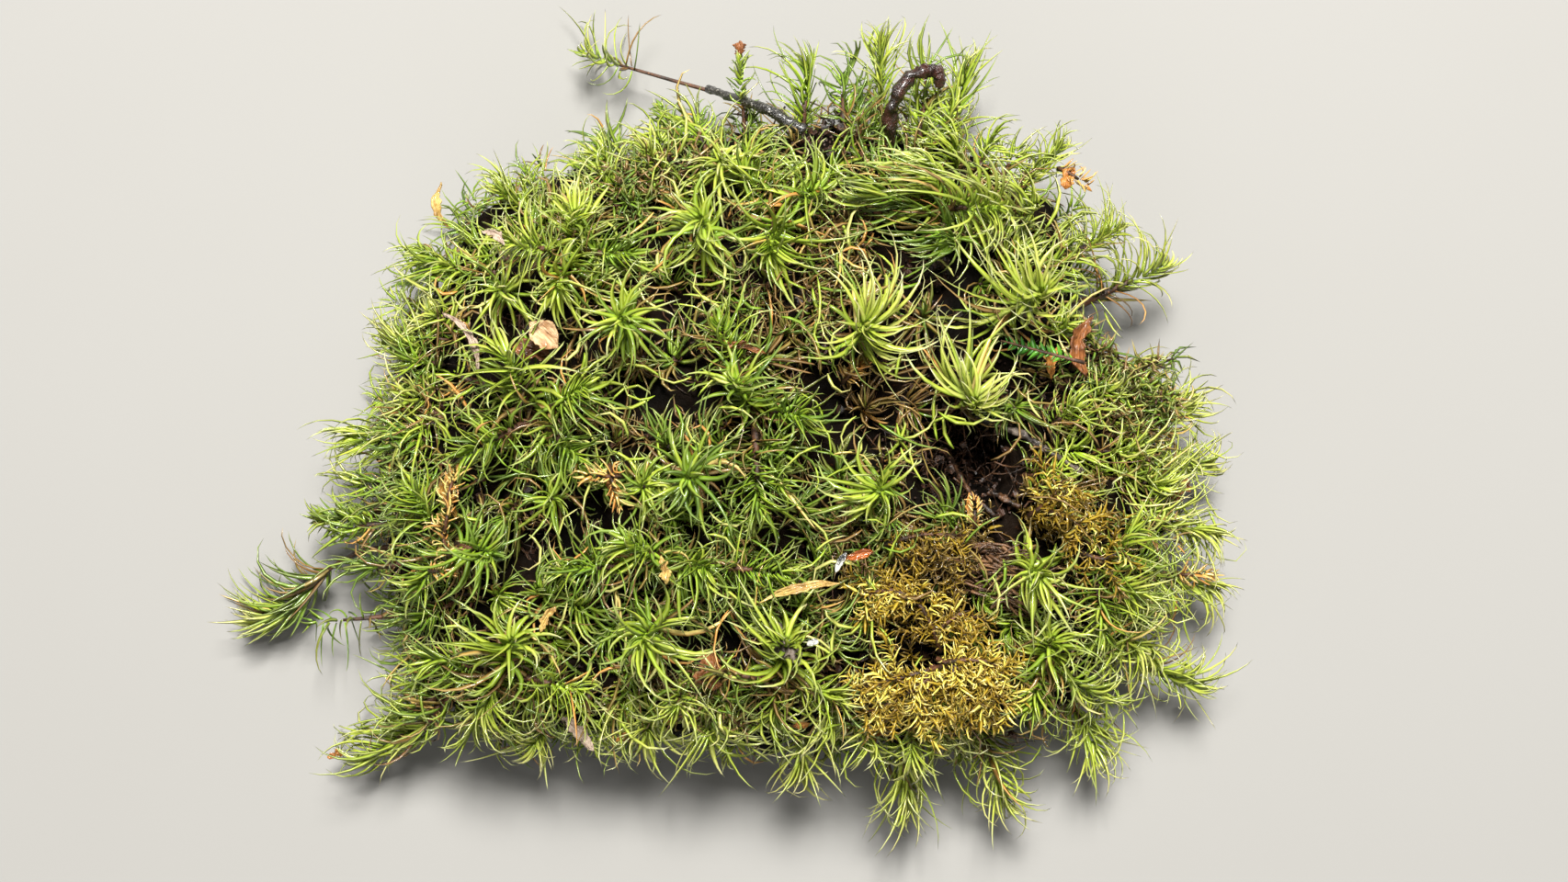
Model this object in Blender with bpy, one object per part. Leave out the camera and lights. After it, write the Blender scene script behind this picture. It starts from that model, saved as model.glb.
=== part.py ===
"""A clump of broom moss lifted with its bed of peat and cut off flat underneath.

Metres, +Z up. The origin is on the flat underside, in the middle of the bed, and the clump rests on z = 0.
Lengths below are millimetres; MM turns them into metres when a mesh is made.
"""

import math
import random
from dataclasses import dataclass

import bmesh
import bpy
import numpy as np
from mathutils import Vector, geometry, noise
from mathutils.bvhtree import BVHTree

MM = 0.001

# Driving sizes
BED_TOP = 20.5  # height of the peat in the middle of the clump
BED_EDGE = 13.0  # height of the peat at its rim
BED_UNDERCUT = 0.90  # radius of the flat underside, as a share of the rim's
BED_SIDES = 32  # points round the bed
BED_LEVELS = ((0.0, BED_UNDERCUT, 0.0), (4.5, 0.985, 0.10), (9.0, 1.0, 0.12), (None, 0.92, 0.03))
# levels of its side: height, share of the rim's radius and raggedness; None is the height of its top
BED_PITCH = 6.4  # distance between the points of its top
LOW_MOSS = (3.2, 6.0)  # shortest and longest point of the low moss that grows all over the bed
GAP = 0.35  # clearance between pieces that touch
FLOOR_CLEARANCE = 0.9  # lowest that a leaf tip hangs over the surface below
CORE_RADIUS = 1.75  # bud that a shoot's leaves grow from
STEM_RADIUS = 0.75  # stem under the bud
FOOT_RADIUS = 1.05  # felted stem where it leaves the peat
TUFT_FOOT = (2.8, 2.4, 2.8, 3.8)  # a tuft's foot: radius below and above, height there and at its peak
TUFT_STEM_RADIUS = 0.9  # stem of a shoot half way up from a tuft's foot
YOUNG_LEAVES = 3.0  # point of young leaves standing together on a smaller bud
LEAF_BEND = 0.42  # where along its length a leaf bends
LEAF_THINNING = 0.5  # its thickness there, as a share of its foot's
LEAF_TESTS = 14  # places along a leaf where its room is measured
LEAF_SHARES = (1.0, 0.88, 0.76, 0.64, 0.52, 0.40, 0.32)  # lengths tried, as shares of the reach
EYE_HEIGHT = 300.0  # the layout below was read from straight above, from this height
EYE_X = 2.76  # and from over this x

SMOOTH_ANGLE = math.radians(75)  # edges bent less than this are shaded smooth, as round stems are

# Rim of the bed: degrees round from +X, and radius
RIM = (
    (0, 49), (20, 46), (45, 45), (65, 42), (90, 38.5), (110, 38), (130, 42), (150, 45), (170, 46),
    (190, 48), (205, 50), (220, 51), (240, 42), (260, 37.5), (280, 37.5), (300, 43), (320, 51), (340, 51.5),
)

# Pits in the top of the bed: x, y, z of the middle, and half the width, depth and height
PITS = (
    (24.6, -2.4, 18.5, 6.2, 6.2, 9.5),
    (-28.6, -12.0, 20.0, 3.2, 3.0, 7.0),
    (-29.6, 15.0, 20.0, 2.9, 2.8, 6.0),
)

# Colours
GREEN = (0.165, 0.250, 0.038)
BRIGHT = (0.290, 0.400, 0.055)
DEEP = (0.075, 0.150, 0.028)
GOLD = (0.330, 0.190, 0.030)
PEAT = (0.040, 0.026, 0.016)
BARK = (0.045, 0.024, 0.016)
TAN = (0.600, 0.400, 0.220)
RUST = (0.360, 0.090, 0.018)


@dataclass
class Shoot:
    """One leafy shoot: its bud as seen from above, its lean away from its root, and how its leaves lie."""

    x: float
    y: float
    z: float
    lean: tuple = (0.0, 0.0)  # how far the bud stands from over its root
    reach: float = 7.0  # longest leaf
    droop: float = 0.5  # how much the leaves bend down
    sweep: tuple = (0.0, 0.0)  # the way that all its leaves are combed
    sides: int = 4  # a third of its leaves
    root_z: float = 0.0  # height of a root in the side of the bed; 0 stands for a root in the top
    tint: tuple = GREEN


# Tall shoots in the middle
TALL_SHOOTS = (
    Shoot(13.5, 15.2, 32, (1, 1), 9.5, 0.30, (0.15, 0.05), 5, tint=BRIGHT),
    Shoot(36.0, 19.3, 27, (4, 2), 10.0, 0.25, (-0.45, 0.15), 5, tint=BRIGHT),
    Shoot(27.5, 5.5, 28, (1.5, -1), 9.0, 0.30, (0.05, 0.30), 5, tint=BRIGHT),
    Shoot(-8.0, 28.8, 28, (-1, 3), 8.0, 0.45, (-0.10, 0.0), 5),
    Shoot(-18.5, 16.0, 32, (-1, 1), 8.0, 0.50, (0.0, -0.05), 5),
    Shoot(-9.8, -4.7, 33, (-1, 0), 8.0, 0.50, (0.0, 0.0), 5),
    Shoot(15.1, -6.5, 29, (-1, -1), 7.5, 0.45, (-0.15, 0.0), 4, tint=BRIGHT),
    Shoot(-15.4, -25.8, 29, (-1, -2), 8.5, 0.45, (0.15, -0.20), 5),
    Shoot(36.0, -17.5, 27, (2, -1), 7.5, 0.50, (0.0, -0.25), 4),
)

# Shoots round the rim, which lean out of the side of the bed and droop
RIM_SHOOTS = (
    Shoot(-34.5, 34.8, 15, (-7, 7), 7.5, 0.35, (-0.1, 0.2), 4, 8, BRIGHT),
    Shoot(-20.8, 38.6, 15, (-2, 9), 7.5, 0.35, (-0.1, 0.2), 4, 8, BRIGHT),
    Shoot(-13.0, 42.8, 11, (-5, 13), 5.5, 0.30, (-0.4, 0.1), 4, 7),
    Shoot(-3.0, 49.0, 15, (-1, 14), 4.5, 0.20, (0.0, 0.4), 4, 10),
    Shoot(5.8, 48.6, 15, (1, 12), 7.0, 0.25, (-0.3, 0.5), 4, 11, DEEP),
    Shoot(15.4, 50.6, 13, (0, 14), 7.0, 0.25, (0.0, 0.4), 4, 8, BRIGHT),
    Shoot(26.4, 47.4, 12, (3, 12), 7.0, 0.30, (0.0, 0.3), 4, 8),
    Shoot(38.0, 39.0, 13, (8, 10), 6.5, 0.30, (0.1, 0.2), 4, 8, BRIGHT),
    Shoot(45.6, 28.4, 14, (10, 7), 6.5, 0.40, (0.0, 0.1), 4, 8),
    Shoot(51.4, 22.4, 11, (11, 5), 8.0, 0.35, (-0.4, 0.0), 4, 7),
    Shoot(49.8, 11.2, 14, (11, 3), 6.5, 0.40, (0.0, 0.0), 4, 7),
    Shoot(54.2, 4.4, 12, (11, 2), 7.0, 0.35, (0.2, 0.2), 4, 8, BRIGHT),
    Shoot(58.6, -3.2, 8, (13, -1), 7.0, 0.30, (0.2, 0.1), 4, 6),
    Shoot(57.4, -11.6, 11, (12, -1), 6.5, 0.50, (0.0, -0.2), 4, 8),
    Shoot(57.8, -19.0, 8, (12, -2), 7.0, 0.50, (0.1, -0.2), 4, 6),
    Shoot(49.4, -27.0, 14, (10, -5), 7.5, 0.50, (-0.1, 0.0), 4, 7),
    Shoot(55.8, -31.8, 8, (11, -5), 7.0, 0.35, (0.1, 0.0), 4, 6),
    Shoot(43.4, -40.0, 9, (5, -9), 7.5, 0.35, (0.0, -0.1), 4, 7),
    Shoot(31.0, -45.6, 9, (3, -10), 7.5, 0.35, (0.0, -0.1), 4, 7, BRIGHT),
    Shoot(18.6, -45.2, 9, (1, -11), 8.5, 0.30, (0.0, -0.3), 4, 7, BRIGHT),
    Shoot(4.8, -41.6, 12, (0, -9), 8.5, 0.40, (0.0, -0.1), 4, 8, BRIGHT),
    Shoot(-6.6, -41.0, 15, (0, -9), 7.5, 0.45, (0.1, -0.1), 4, 8),
    Shoot(-15.6, -41.4, 10, (-1, -9), 7.5, 0.40, (-0.1, -0.1), 4, 7, BRIGHT),
    Shoot(-29.4, -41.0, 9, (-2, -9), 7.0, 0.35, (-0.1, 0.1), 4, 7),
    Shoot(-50.4, -40.6, 6, (-20, -13), 7.5, 0.20, (-0.4, 0.0), 4, 7, BRIGHT),
    Shoot(-58.0, -23.6, 7, (-12, -1), 6.5, 0.50, (0.0, -0.3), 4, 6, DEEP),
    Shoot(-57.0, -10.0, 9, (-10, 0), 6.5, 0.35, (-0.2, 0.0), 4, 7),
    Shoot(-52.4, 0.4, 12, (-10, 0), 6.5, 0.35, (-0.3, 0.0), 4, 8, BRIGHT),
    Shoot(-50.0, 12.6, 12, (-10, 3), 7.0, 0.35, (-0.1, 0.1), 4, 8),
    Shoot(-44.0, 24.4, 15, (-8, 5), 7.5, 0.45, (-0.2, -0.1), 4, 9),
)

# Tufts of a few shoots grown together, each the buds that it holds
TUFTS = (
    (Shoot(-32.0, 25.7, 26), Shoot(-24.5, 29.2, 25), Shoot(-26.6, 20.4, 27), Shoot(-18.2, 24.6, 26)),
    (Shoot(-24.0, 6.6, 29), Shoot(-33.1, 10.5, 28), Shoot(-38.4, -1.6, 26), Shoot(-24.6, -2.0, 29)),
    (Shoot(-36.0, -14.6, 26), Shoot(-44.6, -18.4, 22), Shoot(-45.0, -7.4, 23)),
    (Shoot(-3.4, 7.4, 30), Shoot(4.6, 3.4, 29), Shoot(-0.6, -8.4, 30), Shoot(-5.4, 14.8, 30)),
    (Shoot(-17.0, -13.4, 30), Shoot(-8.0, -16.4, 29), Shoot(-25.6, -16.8, 28), Shoot(2.2, -17.2, 28)),
    (Shoot(48.0, -12.0, 21), Shoot(47.6, -19.6, 20), Shoot(44.4, -24.6, 21)),
    (Shoot(37.6, -26.4, 23), Shoot(42.6, -32.4, 18), Shoot(35.4, -33.6, 20)),
    (Shoot(22.4, 34.4, 24), Shoot(30.0, 30.6, 24), Shoot(14.4, 32.4, 26), Shoot(24.6, 26.0, 26)),
    (Shoot(1.0, 25.2, 27), Shoot(6.8, 32.6, 25), Shoot(-2.4, 35.0, 22)),
    (Shoot(-33.0, -26.3, 26), Shoot(-24.4, -32.4, 23), Shoot(-36.4, -34.6, 19), Shoot(-42.8, -28.4, 20)),
    (Shoot(2.9, -26.4, 28), Shoot(9.0, -33.0, 23), Shoot(-6.0, -30.4, 25), Shoot(1.6, -35.2, 20)),
)

# A shoot lying out over the surface on a long bare stem: points of the stem from its root, then its bud
LYING_STEM = ((8.4, 35.4, 6.4), (4.6, 41.2, 6.6), (-4.5, 44.9, 6.0), (-13.0, 47.4, 5.4), (-20.5, 49.6, 5.2))
LYING_SHOOT = Shoot(-22.4, 50.4, 5.6, reach=7.5, droop=0.0, sweep=(-0.1, 0.2))

# A glossy green shoot lying on the surface at the left, the same way
FALLEN_STEM = ((-46.0, -13.6, 9.0), (-53.0, -15.0, 7.6), (-58.6, -18.6, 5.4), (-62.0, -21.6, 4.2))
FALLEN_SHOOT = Shoot(-64.4, -23.0, 4.0, reach=7.5, droop=0.0, sweep=(-0.35, 0.0), tint=DEEP)

# Golden cushions of small dense moss: x, y, half the length and the width, height over the bed, turn
CUSHIONS = (
    ("golden_moss_upper", 20.6, -18.8, 7.6, 4.6, 4.6, -12),
    ("golden_moss_lower", 22.4, -29.6, 9.6, 5.0, 5.2, 4),
    ("golden_moss_right", 36.2, -8.0, 4.4, 3.6, 4.4, 20),
)

CUSHION_SIDES = 9  # points round a cushion
CUSHION_LEVELS = ((0.0, 0.92), (0.45, 1.0), (0.78, 0.66), (0.96, 0.28))  # shares of height and radius

# A dark glossy twig: its points from its root, and its radius at each
DARK_TWIG = ((15.6, 34.0, 11), (15.4, 38.6, 16.4), (16.2, 43.0, 18), (18.8, 45.6, 18), (21.2, 44.8, 16.4))
TWIG_RADII = (0.9, 0.95, 0.9, 0.85, 0.5)


def fern_outline(length, pairs, width):
    """Outline of a small fern frond: a stalk with pairs of pointed lobes."""
    right, left = [], []
    for k in range(pairs):
        u = length * (0.22 + 0.70 * k / pairs)
        step = length * 0.70 / pairs
        half = width * math.sin(math.pi * (0.25 + 0.70 * k / pairs))
        right += [(u, -0.35), (u + 0.75 * step, -half)]
        left += [(u, 0.35), (u + 0.75 * step, half)]
    return [(0, -0.3), *right, (length, -0.1), (length, 0.1), *reversed(left), (0, 0.3)]


# Thin dead leaves and a fern tip lying on the bed: x, y, outline, thickness, colour, turn, curl and slope
SCALE_OUTLINE = ((-2.2, -1.2), (1.6, -1.5), (2.3, 0.2), (1.2, 1.5), (-2.0, 1.3))
LEAF_OUTLINE = ((-3.4, -0.4), (-1.6, -1.2), (0.8, -1.0), (3.4, 0.0), (1.2, 1.1), (-1.8, 0.9))
FLAKES = (
    ("tan_leaf_scale", -25.6, 14.4, SCALE_OUTLINE, 0.8, TAN, -32, 0.15, 0.12),
    ("curled_dead_leaf", 40.6, 12.4, LEAF_OUTLINE, 0.7, RUST, 84, 0.25, 0.0),
    ("fern_sprig", 38.8, 9.4, fern_outline(9.0, 5, 1.7), 0.5, DEEP, 160, 0.05, -0.05),
)


def from_above(x, y, z):
    """Where a thing at height z stands, if it is seen at x, y from the eye over the clump."""
    share = 1 - z / EYE_HEIGHT
    return Vector((EYE_X + (x - EYE_X) * share, y * share, z))


def rim_radius(angle):
    """Radius of the bed's rim at an angle in radians, with its own small bays and lobes."""
    degrees = math.degrees(angle) % 360
    turn, radius = zip(*RIM)
    smooth = float(np.interp(degrees, turn, radius, period=360))
    at = Vector((math.cos(angle), math.sin(angle), 0.0))
    return smooth * (1 + 0.035 * noise.noise(at * 4.1))


def bed_height(x, y):
    """Height of the lumpy top of the peat."""
    share = min(1.0, math.hypot(x, y) / rim_radius(math.atan2(y, x)))
    crown = BED_EDGE + (BED_TOP - BED_EDGE) * (1 - share**2.4)
    broad_lumps = 1.5 * noise.noise(Vector((x / 11, y / 11, 0.4)))
    small_lumps = 0.7 * noise.noise(Vector((x / 5, y / 5, 3.1)))
    return crown + broad_lumps + small_lumps


class Body:
    """One closed solid in the making: its points in millimetres and its faces as point numbers."""

    def __init__(self, name, tint, roughness=0.6):
        self.name = name
        self.tint = tint
        self.roughness = roughness
        self.place = Vector()  # the object's own origin
        self.points = []
        self.faces = []

    def add_ring(self, centre, side, up, radius, count, turn=0.0, squash=1.0):
        """Adds a ring of points round a centre, in the plane of side and up, and returns their numbers."""
        first = len(self.points)
        for k in range(count):
            angle = 2 * math.pi * (k + turn) / count
            across = side * (radius * math.cos(angle))
            along = up * (radius * squash * math.sin(angle))
            self.points.append(centre + across + along)
        return list(range(first, first + count))

    def join_rings(self, lower, upper):
        """Walls between two rings of the same count."""
        count = len(lower)
        for k in range(count):
            after = (k + 1) % count
            self.faces.append((lower[k], lower[after], upper[after]))
            self.faces.append((lower[k], upper[after], upper[k]))

    def tree(self, faces=None):
        """The faces as a search tree, to measure distances to."""
        return BVHTree.FromPolygons(self.points, self.faces if faces is None else faces)


def frame_across(direction):
    """Two unit vectors square to a direction and to each other, turning anticlockwise round it."""
    helper = Vector((0, 1, 0)) if abs(direction.z) > 0.75 else Vector((0, 0, 1))
    side = helper.cross(direction).normalized()
    return side, direction.cross(side).normalized()


def bezier(points, t):
    """A point on the quadratic curve through a start, a pull and an end."""
    start, pull, end = points
    return start * (1 - t) ** 2 + pull * (2 * t * (1 - t)) + end * t**2


def tube(body, path, radii, sides, closed_end):
    """A tube along a path, closed at its start and, if asked, at its end. Returns its last ring."""
    rings = []
    side = None
    for k, point in enumerate(path):
        ahead = path[min(k + 1, len(path) - 1)]
        behind = path[max(k - 1, 0)]
        along = (ahead - behind).normalized()
        if side is None:
            side, up = frame_across(along)
        else:
            side = (side - along * side.dot(along)).normalized()
            up = along.cross(side)
        rings.append(body.add_ring(point, side, up, radii[k], sides))
    for lower, upper in zip(rings, rings[1:]):
        body.join_rings(lower, upper)
    body.faces.append(tuple(reversed(rings[0])))
    if closed_end:
        body.faces.append(tuple(rings[-1]))
    return rings[-1], side


def add_bud(body, centre, axis, ring, side, radius, spike=0.0):
    """The bud on top of a stem's last ring, and its faces, which the leaves grow from.

    With a spike, its youngest leaves stand together in one point of that length.
    """
    count = len(ring)
    side = (side - axis * side.dot(axis)).normalized()
    up = axis.cross(side)
    lower = body.add_ring(centre - axis * (0.45 * radius), side, up, 0.9 * radius, count)
    upper = body.add_ring(centre + axis * (0.45 * radius), side, up, 0.9 * radius, count, 0.5)
    top = len(body.points)
    body.points.append(centre + axis * (radius + spike))
    body.join_rings(ring, lower)
    open_faces = []
    for k in range(count):
        after = (k + 1) % count
        open_faces += [len(body.faces), len(body.faces) + 1]
        body.faces.append((lower[k], lower[after], upper[k]))
        body.faces.append((lower[after], upper[after], upper[k]))
        if not spike:
            open_faces.append(len(body.faces))
        body.faces.append((upper[k], upper[after], top))
    return open_faces


@dataclass
class Bud:
    """A bud whose leaves are still to grow: its body, its faces and the way that its leaves lie."""

    body: Body
    key: str
    centre: Vector
    axis: Vector
    open_faces: list
    shoot: Shoot
    own_faces: list


def leaf_points(bud, face, share):
    """The middle ring and the tip of a leaf that grows from a face of the bud."""
    corners = [bud.body.points[number] for number in face]
    base = sum(corners, Vector()) / 3
    out = (corners[1] - corners[0]).cross(corners[2] - corners[0]).normalized()
    upright = max(0.0, out.dot(bud.axis))
    length = bud.shoot.reach * (1.0 - 0.25 * upright) * share
    bend = Vector((*bud.shoot.sweep, 0)) + Vector((0, 0, -bud.shoot.droop * (1 - 0.4 * upright)))
    middle = base + out * (LEAF_BEND * length) + bend * (LEAF_BEND**2 * share * length)
    tip = base + out * length + bend * (share * length)
    along = (tip - base).normalized()
    across = along.cross(bud.axis)
    across = across.normalized() if across.length > 0.2 else frame_across(along)[0]
    thick = along.cross(across)
    ring = []
    for corner in corners:
        offset = corner - base
        ring.append(middle + across * offset.dot(across) + thick * (LEAF_THINNING * offset.dot(thick)))
    half = max(abs((point - middle).dot(across)) for point in ring)
    return base, middle, tip, ring, across, half


def leaf_is_clear(bud, base, middle, tip, across, half, trees):
    """Whether a leaf stays clear of every other piece and of the surface below, along both edges too."""
    for k in range(1, LEAF_TESTS + 1):
        t = k / LEAF_TESTS
        if t < LEAF_BEND:
            point = base.lerp(middle, t / LEAF_BEND)
            side = half
        else:
            past_bend = (t - LEAF_BEND) / (1 - LEAF_BEND)
            point = middle.lerp(tip, past_bend)
            side = half * (1 - past_bend)
        room = 0.4 * (1 - t) + 0.12
        for share in (-0.8, 0.0, 0.8):
            spot = point + across * (side * share)
            if spot.z - room < FLOOR_CLEARANCE:
                return False
            for key, (tree, centre, size) in trees.items():
                if key == bud.key or (spot - centre).length > size + 2:
                    continue
                if tree.find_nearest(spot, room + GAP)[0] is not None:
                    return False
    return True


def grow_leaf(bud, trees):
    """Grows the bud's next leaf as long as its room allows, down to a third, or leaves its face flat."""
    number = bud.open_faces.pop(0)
    body = bud.body
    face = body.faces[number]
    for share in LEAF_SHARES:
        base, middle, tip, ring, across, half = leaf_points(bud, face, share)
        if not leaf_is_clear(bud, base, middle, tip, across, half, trees):
            continue
        first = len(body.points)
        body.points.extend(ring)
        body.points.append(tip)
        new = (first, first + 1, first + 2)
        start = len(body.faces)
        body.faces[number] = (face[0], face[1], new[1], new[0])
        body.faces.append((face[1], face[2], new[2], new[1]))
        body.faces.append((face[2], face[0], new[0], new[2]))
        for k in range(3):
            body.faces.append((new[k], new[(k + 1) % 3], first + 3))
        bud.own_faces.extend(range(start, len(body.faces)))
        return


def measured(body, numbers):
    """A search tree of some faces of a body, with a centre and a size to pass over it quickly."""
    faces = [body.faces[number] for number in numbers]
    used = {number for face in faces for number in face}
    centre = sum((body.points[number] for number in used), Vector()) / len(used)
    size = max((body.points[number] - centre).length for number in used)
    return BVHTree.FromPolygons(body.points, faces), centre, size


def stem_path(shoot):
    """Root, pull and bud of a shoot's stem. The root is a point inside the bed."""
    bud = from_above(shoot.x, shoot.y, shoot.z)
    lean = Vector((*shoot.lean, 0))
    root = bud - lean
    root.z = shoot.root_z or bed_height(root.x, root.y) - 1.0
    rise = max(0.6 * (bud.z - root.z), 3.0)
    return root, root + lean * 0.45 + Vector((0, 0, rise)), bud


def room_over(tree, spot):
    """Distance of a spot from a closed surface, less than zero inside it."""
    distance = tree.find_nearest(spot)[3]
    above, normal = tree.ray_cast(spot, Vector((0, 0, 1)))[:2]
    inside = above is not None and normal.z > 0
    return -distance if inside else distance


def plant(body, ring, towards, bed_tree):
    """Moves the foot of a stem so that each of its points stands a gap off the bed, along the stem."""
    for number in ring:
        start = body.points[number] + towards * 12
        hit = bed_tree.ray_cast(start, -towards, 25)[0]
        if hit is not None:
            body.points[number] = hit + towards * GAP
    corners = [body.points[number] for number in ring]
    spots = []
    for one in corners:
        for two in corners:
            spots += [one.lerp(two, share) for share in (0.0, 0.1, 0.2, 0.3, 0.4, 0.5)]
    lift = 0.0
    while min(room_over(bed_tree, spot + towards * lift) for spot in spots) < GAP:
        lift += 0.05
    for number in ring:
        body.points[number] += towards * lift


def from_surface(path, bed_tree):
    """The part of a path that is outside the bed."""
    for first, last in zip(path, path[1:]):
        step = last - first
        hit = bed_tree.ray_cast(last, -step.normalized(), step.length)[0]
        if hit is not None:
            return [hit, *path[path.index(last) :]]
    return path


def make_shoot(name, shoot, bed_tree, spike=0.0):
    """A shoot with one bud, its stem standing on the bed."""
    body = Body(name, shoot.tint)
    curve = stem_path(shoot)
    body.place = curve[0]
    axis = (curve[2] - curve[1]).normalized()
    below = curve[2] - axis * (0.45 * CORE_RADIUS + 0.6)
    path = from_surface([curve[0], bezier(curve, 0.5), below], bed_tree)
    radii = np.linspace(FOOT_RADIUS, STEM_RADIUS, len(path)).tolist()
    ring, side = tube(body, path, radii, shoot.sides, False)
    plant(body, range(shoot.sides), (path[1] - path[0]).normalized(), bed_tree)
    faces = add_bud(body, curve[2], axis, ring, side, CORE_RADIUS, spike)
    return Bud(body, name, curve[2], axis, faces, shoot, list(range(len(body.faces))))


def make_lying_shoot(name, route, shoot, bed_tree, foot_radius):
    """A shoot on a long bare stem that lies out over the surface."""
    body = Body(name, shoot.tint)
    path = from_surface([from_above(*point) for point in route], bed_tree)
    body.place = path[0]
    centre = from_above(shoot.x, shoot.y, shoot.z)
    axis = (centre - path[-1]).normalized()
    radii = np.linspace(foot_radius, STEM_RADIUS, len(path)).tolist()
    ring, side = tube(body, path, radii, shoot.sides, False)
    plant(body, range(shoot.sides), (path[1] - path[0]).normalized(), bed_tree)
    faces = add_bud(body, centre, axis, ring, side, CORE_RADIUS)
    return Bud(body, name, centre, axis, faces, shoot, list(range(len(body.faces))))


def tuft_foot(shoots):
    """Where a tuft stands on the bed, and the places of its buds."""
    centres = [from_above(shoot.x, shoot.y, shoot.z) for shoot in shoots]
    middle = (sum(centres, Vector()) / len(centres)).to_2d()
    furthest = 0.92 * rim_radius(math.atan2(middle.y, middle.x)) - 3.4
    middle *= min(1.0, furthest / middle.length)
    return Vector((middle.x, middle.y, bed_height(middle.x, middle.y))), centres


def sector_of_each(foot, centres):
    """For each of the six sectors round a tuft's foot, the number of the bud that grows from it."""
    first = math.atan2(centres[0].y - foot.y, centres[0].x - foot.x)
    taken = {}
    for number, centre in enumerate(centres):
        angle = math.atan2(centre.y - foot.y, centre.x - foot.x) - first
        sector = round(6 * angle / (2 * math.pi)) % 6
        while sector in taken:
            sector = (sector + 1) % 6
        taken[sector] = number
    return first, taken


def grow_stem(body, face, centre):
    """A three-sided stem from a face of a tuft's foot to a bud: its last ring, side and direction."""
    start = sum((body.points[k] for k in face), Vector()) / 3
    pull = start.lerp(centre, 0.35) + Vector((0, 0, 1.5))
    side = body.points[face[0]] - start
    ring = list(face)
    for share, radius in ((0.5, TUFT_STEM_RADIUS), (0.88, STEM_RADIUS)):
        point = bezier((start, pull, centre), share)
        along = (bezier((start, pull, centre), share + 0.05) - point).normalized()
        side = (side - along * side.dot(along)).normalized()
        after = body.add_ring(point, side, along.cross(side), radius, 3)
        body.join_rings(ring, after)
        ring = after
    return ring, side, (centre - pull).normalized()


def make_tuft(name, shoots, bed_tree):
    """A tuft: one foot on the bed, from whose six top faces its shoots rise."""
    body = Body(name, shoots[0].tint)
    foot, centres = tuft_foot(shoots)
    body.place = foot
    east, north, up = Vector((1, 0, 0)), Vector((0, 1, 0)), Vector((0, 0, 1))
    first, taken = sector_of_each(foot, centres)
    turn = 6 * first / (2 * math.pi) - 0.5
    lower = body.add_ring(foot, east, north, TUFT_FOOT[0], 6, turn)
    upper = body.add_ring(foot + up * TUFT_FOOT[2], east, north, TUFT_FOOT[1], 6, turn)
    body.join_rings(lower, upper)
    below = len(body.points)
    body.points.append(foot.copy())
    plant(body, [*lower, below], up, bed_tree)
    for k in range(6):
        body.faces.append((lower[(k + 1) % 6], lower[k], below))
    peak = len(body.points)
    body.points.append(foot + up * TUFT_FOOT[3])
    buds = []
    for sector in range(6):
        face = (upper[sector], upper[(sector + 1) % 6], peak)
        if sector not in taken:
            body.faces.append(face)
            continue
        number = taken[sector]
        centre = centres[number]
        first_face = len(body.faces)
        ring, side, axis = grow_stem(body, face, centre)
        faces = add_bud(body, centre, axis, ring, side, CORE_RADIUS, YOUNG_LEAVES)
        own = list(range(first_face, len(body.faces)))
        buds.append(Bud(body, f"{name}/{number}", centre, axis, faces, shoots[number], own))
    return body, buds


def make_cushion(name, x, y, half_length, half_width, height, turn, bed_tree):
    """A low cushion of golden moss: a dome whose every upper face is raised to a point."""
    body = Body(name, GOLD)
    rng = random.Random(name)
    angle = math.radians(turn)
    long_axis = Vector((math.cos(angle), math.sin(angle), 0))
    wide_axis = Vector((-math.sin(angle), math.cos(angle), 0))
    foot = Vector((x, y, bed_height(x, y)))
    body.place = foot
    up = Vector((0, 0, 1))
    sides = CUSHION_SIDES
    squash = half_width / half_length
    rings = []
    for step, (rise, share) in enumerate(CUSHION_LEVELS):
        centre = foot + up * (rise * height)
        radius = half_length * share
        rings.append(body.add_ring(centre, long_axis, wide_axis, radius, sides, 0.5 * step, squash))
    inner = body.add_ring(foot, long_axis, wide_axis, half_length * 0.45, sides, 0, squash)
    below = len(body.points)
    body.points.append(foot.copy())
    underside = [*rings[0], *inner, below]
    for number in underside:
        plant(body, [number], up, bed_tree)
        body.points[number].z += 0.5
    body.join_rings(inner, rings[0])
    for k in range(sides):
        body.faces.append((inner[(k + 1) % sides], inner[k], below))
    walls = []
    for lower, upper in zip(rings, rings[1:]):
        for k in range(sides):
            after = (k + 1) % sides
            walls.append((lower[k], lower[after], upper[k]))
            walls.append((lower[after], upper[after], upper[k]))
    side_walls = 2 * sides
    body.faces.extend(walls[:side_walls])
    peak = len(body.points)
    body.points.append(foot + up * height)
    crown = walls[side_walls:]
    crown += [(rings[-1][k], rings[-1][(k + 1) % sides], peak) for k in range(sides)]
    for face in crown:
        raise_to_point(body, face, rng.uniform(0.9, 1.9))
    return body


def raise_to_point(body, face, rise, lean=None):
    """Three faces in place of one, to a point over its middle, square to it or moved by a lean."""
    corners = [body.points[number] for number in face]
    out = (corners[1] - corners[0]).cross(corners[2] - corners[0]).normalized()
    tip = len(body.points)
    offset = out * rise if lean is None else Vector((0, 0, rise)) + lean
    body.points.append(sum(corners, Vector()) / 3 + offset)
    body.faces += [(face[0], face[1], tip), (face[1], face[2], tip), (face[2], face[0], tip)]


def make_stick(name, route, radii, tint, bed_tree):
    """A twig that stands on the bed by its first point."""
    body = Body(name, tint, 0.45)
    path = from_surface([Vector(point) for point in route], bed_tree)
    body.place = path[0]
    tube(body, path, radii[-len(path) :], 5, True)
    plant(body, range(5), (path[1] - path[0]).normalized(), bed_tree)
    return body


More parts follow.
